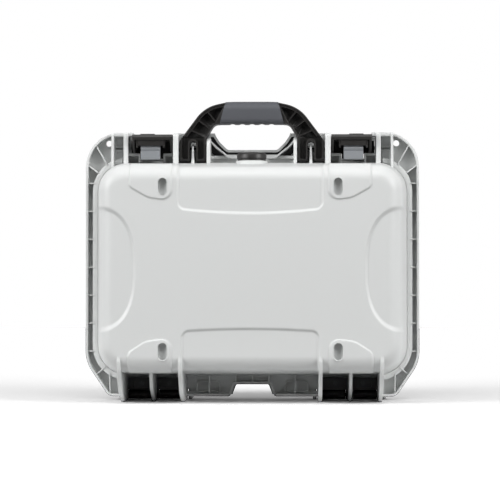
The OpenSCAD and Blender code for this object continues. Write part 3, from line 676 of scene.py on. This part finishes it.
def base_shell():
    shell = tub(*BASE_TUB)
    slot_cutters, slot_rims, wells = slots_and_rims(BASE_FACE, -1)
    parts = [
        flange_plate(BASE_TOP - PLATE, BASE_TOP, BASE_DIP, -2, NOTCH_STEP, 2),
        flange_lip(18, BASE_TOP - 0.6, 152),
        rim_band(21, BASE_TOP - 0.6, 166),
        ring(rim_corners(1.9), rim_corners(0.4), BASE_TOP - 1, BASE_TOP + 1.3, 0.4, 14),
        notch_lip(20, BASE_TOP - 0.6),
        lathe([(0, 286), (19.2, 286), (19.9, 290), (19.9, 301.4), (19.4, 302), (0, 302)], (0, VALVE_Y, 0)),
    ]
    parts += [block(x - 0.8, x + 0.8, 20, BASE_TOP - 0.6, 22, 34, 0.3) for x in (-21, 0, 21)]
    ribs = channel_ribs(20, BASE_TOP - 1)
    parts += both([ribs] + base_front_parts() + base_hinge_parts())
    details = cut(union(parts), [tub_core(*BASE_TUB)])
    shell = union([shell, details] + wells)
    shell = cut(shell, slot_cutters + both(base_cutters()) + [
        lathe([(0, 270), (7.9, 270), (7.9, 310), (0, 310)], (0, VALVE_Y, 0)),
    ])
    return union([shell] + slot_rims)


def tub_core(rim_y, face_y, floor, edge_r, t0=WALL - 0.05):
    """The space inside a tub whose wall is t0 thick, reaching past its rim."""
    side = 1 if face_y > rim_y else -1
    hw, hh, r = RIM
    fw, fh, fr = floor
    depth = abs(face_y - rim_y)
    counts = (8, 6, 14)
    levels = [(rim_y - side * 8, hw - t0, hh - t0, r - t0), (rim_y, hw - t0, hh - t0, r - t0),
              (rim_y + side * (depth - edge_r), fw - t0, fh - t0, fr - t0)]
    inner = edge_r - t0
    for i in range(1, 7):
        a = math.pi / 2 * i / 6
        shrink = inner * (1 - math.cos(a)) + t0
        levels.append((face_y - side * t0 - side * inner * (1 - math.sin(a)), fw - shrink,
                       fh - shrink, fr - shrink))
    verts = []
    for y, w, h, radius in levels:
        loop = rim_loop(w, h, radius, counts)
        verts += [(x, y, z + MID_Z) for x, z, _, _ in loop]
    n = len(loop)
    faces = [tuple(range(n)), tuple(range(len(verts) - n, len(verts)))]
    for k in range(len(levels) - 1):
        a, b = k * n, (k + 1) * n
        faces += [(a + i, a + (i + 1) % n, b + (i + 1) % n, b + i) for i in range(n)]
    return finished(mesh_object("core", verts, faces), 0)


# ---- lid shell ----
def lid_foot(x):
    profile = [(PART_Y + 4.5, 0, 0), (72, 0, 10), (LID_HIGH[1] - 3, 16, 26), (LID_HIGH[1] - 1, 46, 4),
               (60, 62, 0), (PART_Y + 4.5, 40, 0)]
    return along_x(profile, x - 2, x + 2, 0.9, 8)


def lid_latch_rib(x, w):
    top = FLANGE_TOP - 2.3
    profile = [(LID_BOTTOM + 0.6, ROOT_Z, 0), (LID_BOTTOM + 0.6, top, 0.6), (LEVER_Y, top, 12),
               (LEVER_Y + 14, 308, 14), (LEVER_Y + 24, ROOT_Z, 0)]
    return along_x(profile, x - w / 2, x + w / 2, 0.7, 8)


def lid_shell():
    shell = tub(*LID_TUB)
    slot_cutters, slot_rims, wells = slots_and_rims(LID_FACE, 1)
    low, high = LID_BOTTOM + 0.6, LID_BOTTOM + 14
    left = [
        lid_latch_rib(-160, 6), lid_latch_rib(-96, 5.6),
        block(-179, -152, low, high, 334.8, 339.3, 0.8),
        block(-177, -161, low, LID_BOTTOM + 8, 300, 337, 0.5),
        lid_foot(-79.5), lid_foot(-168),
        channel_ribs(low, LID_BOTTOM + 12),
        block(-95, -48, low, high, 335.5, 337.7, 0.6),
        block(-157.2, -151.9, LID_BOTTOM + 6, LID_BOTTOM + 7.6, 331, 335, 0.2),
    ]
    parts = [
        flange_plate(LID_BOTTOM, LID_BOTTOM + PLATE, LID_DIP, 1.2, 0, 6),
        cut(flange_lip(low, high, 152), [block(-RIB_IN, RIB_IN, 20, 90, -3, 14, 0)]),
        ring(rim_corners(4.5), rim_corners(-1.2), low, LID_BOTTOM + 6, 0.7, 14),
        dip_band(0, 3.0, low, high),
        common(dip_band(1.5, 19, LID_BOTTOM + 9.5, LID_BOTTOM + 12), block(-60, 60, 30, 60, 306, 340, 0)),
    ] + both(left)
    details = cut(union(parts), [tub_core(*LID_TUB)])
    shell = union([shell, details] + wells)
    cutters = []
    for s in (-1, 1):
        bay = sorted((s * BAY_IN, s * BAY_OUT))
        hinge = sorted((s * (RIB_IN - 3.4), s * (RIB_OUT + 3.5)))
        foot = sorted((s * 20.5, s * (HALF_W + 1)))
        claw = sorted((s * (LATCH_X - CLAW_GAP), s * (LATCH_X + CLAW_GAP)))
        cutters += [block(*bay, LID_BOTTOM - 1, LID_BOTTOM + 5, BAY_Z, 345, 0),
                    block(*claw, LID_BOTTOM - 1, LID_BOTTOM + 5, 307.5, BAY_Z + 1, 0),
                    block(*hinge, LID_BOTTOM - 1, LID_BOTTOM + 8, -1, 13, 0),
                    block(*foot, LID_BOTTOM - 1, LID_BOTTOM + 4, -1, HINGE_Z + 0.3, 0),
                    rod_x(*sorted((s * (LATCH_X - 34.3), s * (LATCH_X + 34.3))), LEVER_Y, LEVER_Z, PIN_BORE)]
        cutters += [rod_y(LID_BOTTOM + 0.6, LID_BOTTOM + 30, -s * x, SCREW_Z, SCREW_BORE) for x in SCREW_X]
    groove = ring(rim_corners(3.0), rim_corners(-0.7), LID_BOTTOM - 1, LID_BOTTOM + 3, 0, 14)
    cutters += [groove, dip_groove(3.0, 17, LID_BOTTOM - 1, LID_BOTTOM + 9.5)]
    shell = cut(shell, slot_cutters + cutters)
    return union([shell] + slot_rims)


# ---- handle ----
HANDLE_OUTER = [(-LEG_OUT, 296, 0), (-LEG_OUT, 328, 8), (-59.6, GRIP_TOP - 7.4, 44), (-30, GRIP_TOP - 1, 60)]
HANDLE_INNER = [(-30, GRIP_LOW, 0), (-47.2, GRIP_LOW, 9), (-LEG_IN, 332.5, 8), (-LEG_IN, 296, 0)]


def handle_bow():
    """Outline of the whole handle, with its ends square."""
    under = [(-u, v, r) for u, v, r in reversed(HANDLE_INNER)]
    return mirrored(HANDLE_OUTER) + under + HANDLE_INNER


def leg_hollow(t, t_hand, y0, y1):
    """Space inside the left leg, with walls t thick outside and t_hand thick towards the hand."""
    body = along_y(inset(mirrored(HANDLE_OUTER), t), y0, y1, 0, 14)
    window = mirrored([(-u, v, r) for u, v, r in HANDLE_INNER[1:]])
    body = cut(body, [along_y(inset(window, -t_hand), y0 - 1, y1 + 1, 0, 14)])
    reach = [(-95, 332, 0), (-50, 332, 0), (-46.5, 350, 0), (-33.5, 376, 0), (-33.5, 385, 0), (-95, 385, 0)]
    return common(body, along_y(reach, y0 - 1, y1 + 1, 0))


def strip(x, z, angle, length, width, y0, y1):
    """Thin bar centred at (x, z) and turned by angle in degrees."""
    u = Vector((math.cos(math.radians(angle)), math.sin(math.radians(angle)))) * length / 2
    v = Vector((-u.y, u.x)).normalized() * width / 2
    c = Vector((x, z))
    corners = [c - u - v, c + u - v, c + u + v, c - u + v]
    return along_y([(*p, 0) for p in corners], y0, y1, 0.3)


def handle_frame():
    front, back = PIVOT_Y - 12, PIVOT_Y + 12
    bow = along_y(handle_bow(), front, back, 1.0, 14)
    prongs = union([rod_x(-110, 110, PIVOT_Y, PIVOT_Z, 16.4, 0, 72),
                    block(-110, 110, -40, 60, PIVOT_Z, 400, 0)])
    bow = common(bow, prongs)
    cutters = []
    for s in (-1, 1):
        arch = [(s * (FORK_X + 4.3), 290, 0), (s * (FORK_X + 4.3), 327.3, 4.29),
                (s * (FORK_X - 4.3), 327.3, 4.29), (s * (FORK_X - 4.3), 290, 0)]
        cutters += [along_y(arch, front - 5, back + 5, 0, 16),
                    rod_x(*sorted((s * 52, s * 97)), PIVOT_Y, PIVOT_Z, 2.56)]
    hollow = leg_hollow(4.6, 2.6, front - 5, front + 9)
    step = leg_hollow(1.7, 1.4, front - 5, front + 1.3)
    ribs = [strip(-52.1 - 8.7 * i, 360.2 - 11 * i, -49.5 + 13.5 * i, 34, 1.5, front + 0.6, front + 10)
            for i in range(3)]
    hollow = cut(hollow, ribs)
    pocket = along_y([(-88.4, 305, 3), (-60.6, 305, 3), (-60.6, 333.5, 0), (-88.4, 333.5, 0)],
                     front - 5, front + 8, 0)
    ridge = [(-FORK_X - 6.3, 290, 0), (-FORK_X - 6.3, 330.6, 6.29), (-FORK_X + 6.3, 330.6, 6.29),
             (-FORK_X + 6.3, 290, 0)]
    pocket = cut(pocket, [along_y(ridge, front - 6, front + 9, 0, 16)])
    cutters += both([hollow, step, pocket])
    frame_part = cut(bow, cutters)
    core = block(-39.5, 39.5, PIVOT_Y - 5.95, PIVOT_Y + 5.95, GRIP_LOW + 6.55, GRIP_LOW + 21.45, 0)
    hole = along_y([(-30.1, 390, 0), (-41.8, 345, 0), (41.8, 345, 0), (30.1, 390, 0)], -30, 50, 0)
    return broken_edges(union([cut(frame_part, [hole]), core]), 0.4)


def handle_grip():
    section = [(PIVOT_Y - 14, GRIP_LOW, 7), (PIVOT_Y + 14, GRIP_LOW, 7), (PIVOT_Y + 14, GRIP_TOP, 12),
               (PIVOT_Y - 14, GRIP_TOP, 12)]
    grip = along_x(section, -60, 60, 0, 14)
    grip = common(grip, along_y([(-30, 390, 0), (-41.7, 345, 0), (41.7, 345, 0), (30, 390, 0)], -30, 50, 0))
    top = along_y(mirrored([(-70, 340, 0), (-70, GRIP_TOP - 3, 0), (-20, GRIP_TOP, 90)]), -30, 50, 0, 16)
    grip = common(grip, top)
    cutters = [rod_y(-30, 50, 12.4 * i, GRIP_LOW - 5.3, 6.6, 0, 48) for i in range(-2, 3)]
    cutters.append(block(-60, 60, PIVOT_Y - 6.1, PIVOT_Y + 6.1, GRIP_LOW + 6.4, GRIP_LOW + 21.6, 0))
    return cut(grip, cutters)


# ---- latches ----
def latch_lever():
    """Left lever, its thumb pad slightly raised at the front edge."""
    x = -LATCH_X
    out, inn = x - 23.1, x + 27.8
    back = LEVER_Y + 8
    parts = [
        along_x([(-4, 332.2, 0), (-4, 332.7, 0.3), (-2.3, 336, 0.5), (back, 336, 2.5), (back, 333, 0),
                 (-1.3, 332.8, 0)], out, inn, 0.3),
        along_x([(-4, 333, 0), (-4, 329, 1), (-1.3, 329, 1), (-1.3, 333, 0)], out, inn, 0.4),
        along_x([(-3, 334, 0), (-0.6, 337, 0.8), (9, 337, 1.6), (12, 335, 0)], x - 12.7, x + 5.3, 0.4),
    ]
    for a in (out, inn - 3):
        parts.append(along_x([(-2.6, 335.5, 0), (-4, 332.7, 0), (-4, 329, 2), (10, 314.2, 6),
                              (back, 314.2, 7), (back, 335.5, 2)], a, a + 3, 0.4))
    for a in (x - 18.3, x + 15.7):
        lug = [(-1.4, 333.5, 0), (-1.4, 319.6, 3), (9, 319.6, 3), (14, 333.5, 0)]
        parts.append(along_x(lug, a, a + 2.6, 0.4))
    for sides in ((out + 1, inn - 1, 14, 15.8, 328, 333.5), (out + 1, inn - 1, 44, 45.8, 314.2, 333.5),
                  (out - 4.9, out + 2, 44, 45.8, 314.2, 331), (x - 14, x + 14, 44, 45.8, 307.9, 316),
                  (x - 15.9, x + 15.9, -1.9, -0.1, 322, 333.5)):
        parts.append(block(*sides, 0.3))
    return cut(union(parts), [rod_x(out - 1, inn + 1, LEVER_Y, LEVER_Z, 2.06),
                              rod_x(x - 20, x + 20, CLAW_Y, CLAW_Z, CLAW_BORE),
                              block(x - 8.1, x + 5.7, 25.7, 34.3, 332, 337, 0)])


def latch_claw():
    """Left claw: a slanted upper half and an upright lower one, hooked at the back."""
    x = -LATCH_X
    profile = [(1.6, 326.6, 2.4), (1.6, 320.4, 0), (-1.6, 319.2, 0.6), (0.6, 314.9, 0), (-2.2, 314.6, 0.4),
               (-2.2, 304, 1.5), (8, 304, 1), (8, 309, 1), (4.5, 310.5, 1), (7.4, 320, 2), (7.4, 326.6, 2.4)]
    claw = along_x(profile, x - 12.3, x + 12.3, 0.5, 8)
    return cut(claw, [rod_x(x - 14, x + 14, CLAW_Y, CLAW_Z, CLAW_BORE)])


# ---- foam and seal ----
def well_clearance(foam, face_y, side):
    """Cuts the foam away round the wells of the stacking slots."""
    depth = sorted((face_y, face_y - side * 7.7))
    places = [(x, z) for x in (-SLOT_X, SLOT_X) for z in SLOT_Z]
    return cut(foam, [along_y(slot_corners(x, z, 2.6), *depth, 0, 10) for x, z in places])


def base_foam(y0, y1):
    """Slab of foam that fills the base from y0 to y1."""
    body = tub_core(*BASE_TUB, WALL + FOAM_GAP)
    return common(body, block(-HALF_W, HALF_W, y0, y1, -10, FLANGE_TOP + 10, 0))


def foam_tray():
    """Cut-out foam: a pocket for the folded drone, one for its controller and three for batteries."""
    low, high = cad("base_foam_tray")
    tray = base_foam(low[1], high[1])

    def pocket(x, z, width, height, depth, r):
        return along_y([(x - width / 2, z - height / 2, r), (x + width / 2, z - height / 2, r),
                        (x + width / 2, z + height / 2, r), (x - width / 2, z + height / 2, r)],
                       high[1] - depth, high[1] + 5, 0, 10)

    cutters = [pocket(-66, 212, 206, 122, 84, 18), pocket(114, MID_Z, 118, 168, 70, 16)]
    cutters += [pocket(-140 + 74 * i, 92, 58, 44, 84, 8) for i in range(3)]
    cutters.append(lathe([(0, 284), (15, 284), (15, 320), (0, 320)], (0, VALVE_Y, 0)))
    return cut(tray, cutters)


def lid_foam():
    """Convoluted foam: rows of rounded peaks facing the tray."""
    low, high = cad("lid_foam")
    pitch, depth = 26.0, 13.0
    nx, nz = 150, 112
    x = np.linspace(-205, 205, nx)
    z = np.linspace(MID_Z - 145, MID_Z + 145, nz)
    gx, gz = np.meshgrid(x, z, indexing="ij")
    wave = np.sin(math.pi * gx / pitch) * np.sin(math.pi * (gz - MID_Z) / pitch)
    y = low[1] + 0.3 + depth * (0.5 - 0.5 * wave)
    top = np.stack([gx, y, gz], axis=2).reshape(-1, 3)
    back = np.stack([gx, np.full_like(y, high[1] + 4), gz], axis=2).reshape(-1, 3)
    verts = np.vstack([top, back])
    index = np.arange(nx * nz).reshape(nx, nz)
    quads = np.stack([index[:-1, :-1], index[1:, :-1], index[1:, 1:], index[:-1, 1:]], axis=2).reshape(-1, 4)
    edge = np.concatenate([index[:, 0], index[-1, 1:], index[-2::-1, -1], index[0, -2:0:-1]])
    following = np.roll(edge, -1)
    walls = np.stack([edge, edge + nx * nz, following + nx * nz, following], axis=1)
    faces = np.vstack([quads, quads[:, ::-1] + nx * nz, walls]).tolist()
    slab = finished(mesh_object("waves", verts, faces), 0)
    core = tub_core(*LID_TUB, WALL + FOAM_GAP)
    return well_clearance(common(slab, core), LID_FACE, 1)


def gasket():
    low, high = cad("lid_gasket")
    reach = high[0] - RIM[0]
    return ring(rim_corners(reach), rim_corners(-0.2), low[1], high[1], 0.5, 16)


def valve_cap():
    low, high = cad("valve_cap")
    r = high[0]
    h = high[2] - low[2]
    profile = [(0, 0), (r - 1, 0), (r, 0.8), (r, h - 3.2), (r - 0.5, h - 2), (r - 1.6, h - 1.1),
               (r - 3, h - 0.9), (r - 3.6, h - 1.3), (r - 6, h - 1.3), (r - 6.8, h - 0.5), (r - 8, h), (0, h)]
    return lathe(profile, (0, VALVE_Y, low[2]), 96)


# ---- materials ----
def plastic(name, colour, roughness, grain, depth, spread=0.05, metallic=0.0, specular=0.5):
    """Material with a fine moulded grain and slightly uneven gloss."""
    mat = bpy.data.materials.new(name)
    mat.use_nodes = True
    nodes, links = mat.node_tree.nodes, mat.node_tree.links
    shader = nodes["Principled BSDF"]
    shader.inputs["Base Color"].default_value = (*colour, 1)
    shader.inputs["Metallic"].default_value = metallic
    shader.inputs["Specular IOR Level"].default_value = specular
    place = nodes.new("ShaderNodeTexCoord")
    fine = nodes.new("ShaderNodeTexNoise")
    fine.inputs["Scale"].default_value = grain
    fine.inputs["Detail"].default_value = 2
    bump = nodes.new("ShaderNodeBump")
    bump.inputs["Strength"].default_value = 0.4
    bump.inputs["Distance"].default_value = depth
    links.new(place.outputs["Object"], fine.inputs["Vector"])
    links.new(fine.outputs["Fac"], bump.inputs["Height"])
    links.new(bump.outputs["Normal"], shader.inputs["Normal"])
    patches = nodes.new("ShaderNodeTexNoise")
    patches.inputs["Scale"].default_value = 18
    gloss = nodes.new("ShaderNodeMapRange")
    gloss.inputs["To Min"].default_value = roughness - spread
    gloss.inputs["To Max"].default_value = roughness + spread
    links.new(place.outputs["Object"], patches.inputs["Vector"])
    links.new(patches.outputs["Fac"], gloss.inputs["Value"])
    links.new(gloss.outputs["Result"], shader.inputs["Roughness"])
    return mat


MATERIALS = {
    "shell": plastic("silver_polymer", (0.62, 0.63, 0.625), 0.42, 1500, 0.00003, specular=0.45),
    "black_nylon": plastic("black_glass_filled_nylon", (0.0185, 0.0172, 0.0165), 0.42, 1100, 0.00005,
                           0.06, specular=0.45),
    "grip": plastic("grey_soft_grip", (0.07, 0.073, 0.083), 0.6, 1300, 0.00005),
    "claw": plastic("grey_claw_plastic", (0.2, 0.21, 0.223), 0.42, 1300, 0.00003),
    "steel": plastic("black_oxide_steel", (0.06, 0.06, 0.062), 0.38, 2500, 0.00001, metallic=1.0),
    # The seal material also colours the dip's black strip, which is painted shadow and not a real seal.
    "seal": plastic("seal_rubber_and_painted_shadow", (0.012, 0.012, 0.013), 0.55, 900, 0.00004),
    "foam": plastic("charcoal_foam", (0.03, 0.03, 0.032), 0.95, 700, 0.0005, 0.03, specular=0.15),
    "membrane": plastic("white_membrane", (0.75, 0.75, 0.73), 0.7, 900, 0.00005),
}


# ---- assembly ----
def shade(obj, angle):
    obj.data.shade_smooth()
    bm = bmesh.new()
    bm.from_mesh(obj.data)
    for edge in bm.edges:
        edge.smooth = edge.is_manifold and edge.calc_face_angle(0) < math.radians(angle)
    bm.to_mesh(obj.data)
    bm.free()


def place_piece(obj, name, body, slot, angle=34):
    """Names a finished mesh, shades it, and ties it to its body and material."""
    obj.name = name
    obj.data.name = name
    shade(obj, angle)
    obj.data.materials.clear()
    obj.data.materials.append(MATERIALS[slot])
    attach(obj, body)
    return obj


def keep_node(node, slot, bevel):
    """Keeps a CAD node's own mesh, with its edges broken and its material set."""
    obj = frame["nodes"][node]
    weld = obj.modifiers.new("weld", "WELD")
    weld.merge_threshold = 0.00001
    if bevel > 0:
        step = obj.modifiers.new("edges", "BEVEL")
        step.width = bevel * MM
        step.segments = 2
        step.limit_method = "ANGLE"
        step.angle_limit = math.radians(38)
        step.harden_normals = False
    for i in range(len(obj.material_slots)):
        obj.material_slots[i].material = MATERIALS[slot]
    if not obj.material_slots:
        obj.data.materials.append(MATERIALS[slot])


def node_slots():
    return {s["node"]: s["material_slot"] for s in frame["record"]["subparts"]}


def build_case():
    replaced = set()

    def add(obj, name, body, node, slot, angle=34):
        replaced.add(node)
        piece = place_piece(obj, name, body, slot, angle)
        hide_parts(node)
        return piece

    add(base_shell(), "base_moulding", "base", "base_shell", "shell")
    add(lid_shell(), "lid_moulding", "lid", "lid_shell", "shell")
    add(handle_frame(), "handle_bow", "handle", "handle_frame", "black_nylon")
    add(handle_grip(), "soft_grip", "handle", "handle_grip", "grip", 45)
    add(valve_cap(), "valve_cover", "base", "valve_cap", "black_nylon")
    add(gasket(), "lid_seal", "lid", "lid_gasket", "seal")
    # Black strip of painted shadow in the dip's groove, standing in for the shade between the shells.
    place_piece(dip_shadow_strip(), "dip_shadow_strip", "lid", "seal")
    for side, build in (("left", lambda part: part()), ("right", lambda part: flipped(part()))):
        add(build(latch_lever), f"lever_{side}", f"latch_{side}", f"latch_lever_{side}", "black_nylon")
        add(build(latch_claw), f"claw_{side}_body", f"claw_{side}", f"latch_claw_{side}", "claw")
    low, high = cad("base_foam_floor")
    floor = base_foam(low[1] - 5, high[1])
    floor = well_clearance(floor, BASE_FACE, -1)
    for obj, name, body, node in ((floor, "foam_floor_pad", "base", "base_foam_floor"),
                                  (foam_tray(), "foam_tray", "base", "base_foam_tray"),
                                  (lid_foam(), "egg_crate_foam", "lid", "lid_foam")):
        add(obj, name, body, node, "foam", 50)
    bevels = {"steel": 0.15, "black_nylon": 0.35}
    for node, slot in node_slots().items():
        if node not in replaced:
            keep_node(node, slot, 0 if "spring" in node else bevels.get(slot, 0))


def flipped(obj):
    copy = mirror_copy(obj)
    bpy.data.objects.remove(obj)
    return copy


# ---- stage ----
def floor_plane():
    """White paper that takes the case's shadow and fades out in front of it."""
    bpy.ops.mesh.primitive_plane_add(size=8, location=(0, 0, -0.0004))
    floor = bpy.context.object
    floor.name = "floor"
    floor.is_shadow_catcher = True
    mat = bpy.data.materials.new("floor_paper")
    mat.use_nodes = True
    nodes, links = mat.node_tree.nodes, mat.node_tree.links
    shader = nodes["Principled BSDF"]
    shader.inputs["Base Color"].default_value = (0.84, 0.84, 0.84, 1)
    shader.inputs["Roughness"].default_value = 0.9
    place = nodes.new("ShaderNodeTexCoord")
    split = nodes.new("ShaderNodeSeparateXYZ")
    fade = nodes.new("ShaderNodeMapRange")
    fade.inputs["From Min"].default_value = -0.15
    fade.inputs["From Max"].default_value = -0.07
    links.new(place.outputs["Object"], split.inputs["Vector"])
    links.new(split.outputs["Y"], fade.inputs["Value"])
    links.new(fade.outputs["Result"], shader.inputs["Alpha"])
    floor.data.materials.append(mat)


def front_paper():
    """Plain white paper under the faded front of the floor, which lights nothing."""
    bpy.ops.mesh.primitive_plane_add(size=8, location=(0, -4.065, -0.0008))
    paper = bpy.context.object
    paper.name = "front_paper"
    paper.visible_diffuse = False
    paper.visible_glossy = False
    paper.visible_shadow = False
    mat = bpy.data.materials.new("white_paper")
    mat.use_nodes = True
    shader = mat.node_tree.nodes["Principled BSDF"]
    shader.inputs["Base Color"].default_value = (0, 0, 0, 1)
    shader.inputs["Specular IOR Level"].default_value = 0
    shader.inputs["Emission Color"].default_value = (1, 1, 1, 1)
    shader.inputs["Emission Strength"].default_value = 1
    paper.data.materials.append(mat)


def softbox(name, position, target, size, power):
    light = bpy.data.lights.new(name, "AREA")
    light.shape = "RECTANGLE"
    light.size, light.size_y = size
    light.energy = power
    obj = bpy.data.objects.new(name, light)
    obj.location = position
    obj.rotation_euler = (Vector(target) - Vector(position)).to_track_quat("-Z", "Y").to_euler()
    scene.collection.objects.link(obj)


def surroundings():
    """White backdrop, with a darker room behind the camera."""
    world = bpy.data.worlds.new("studio")
    world.use_nodes = True
    nodes, links = world.node_tree.nodes, world.node_tree.links
    nodes.clear()
    out = nodes.new("ShaderNodeOutputWorld")
    place = nodes.new("ShaderNodeTexCoord")
    split = nodes.new("ShaderNodeSeparateXYZ")
    fade = nodes.new("ShaderNodeMapRange")
    fade.inputs["From Min"].default_value = -0.75
    fade.inputs["From Max"].default_value = 0.15
    fade.inputs["To Min"].default_value = 0.06
    fade.inputs["To Max"].default_value = 0.5
    room = nodes.new("ShaderNodeBackground")
    room.inputs["Color"].default_value = (1, 1, 1, 1)
    backdrop = nodes.new("ShaderNodeBackground")
    backdrop.inputs["Color"].default_value = (1, 1, 1, 1)
    path = nodes.new("ShaderNodeLightPath")
    mix = nodes.new("ShaderNodeMixShader")
    links.new(place.outputs["Generated"], split.inputs["Vector"])
    links.new(split.outputs["Y"], fade.inputs["Value"])
    links.new(fade.outputs["Result"], room.inputs["Strength"])
    links.new(path.outputs["Is Camera Ray"], mix.inputs["Fac"])
    links.new(room.outputs["Background"], mix.inputs[1])
    links.new(backdrop.outputs["Background"], mix.inputs[2])
    links.new(mix.outputs["Shader"], out.inputs["Surface"])
    scene.world = world


def lights():
    softbox("key_left", (-2.6, -1.75, 1.25), (0, 0, 0.17), (1.4, 1.6), 80)
    softbox("key_right", (2.6, -1.75, 1.25), (0, 0, 0.17), (1.4, 1.6), 76)
    softbox("overhead", (0, -1.5, 2.6), (0, 0, 0.17), (3.0, 1.2), 42)


def camera():
    data = bpy.data.cameras.new("camera")
    data.lens = 146.3
    data.sensor_width = 36
    data.clip_start, data.clip_end = 0.05, 50
    obj = bpy.data.objects.new("camera", data)
    obj.location = (0.062, -2.5645, 0.150)
    aim = Vector((-0.0032, 0.0355, 0.1905))
    obj.rotation_euler = (aim - obj.location).to_track_quat("-Z", "Y").to_euler()
    scene.collection.objects.link(obj)
    scene.camera = obj


build_case()
floor_plane()
front_paper()
surroundings()
lights()
camera()
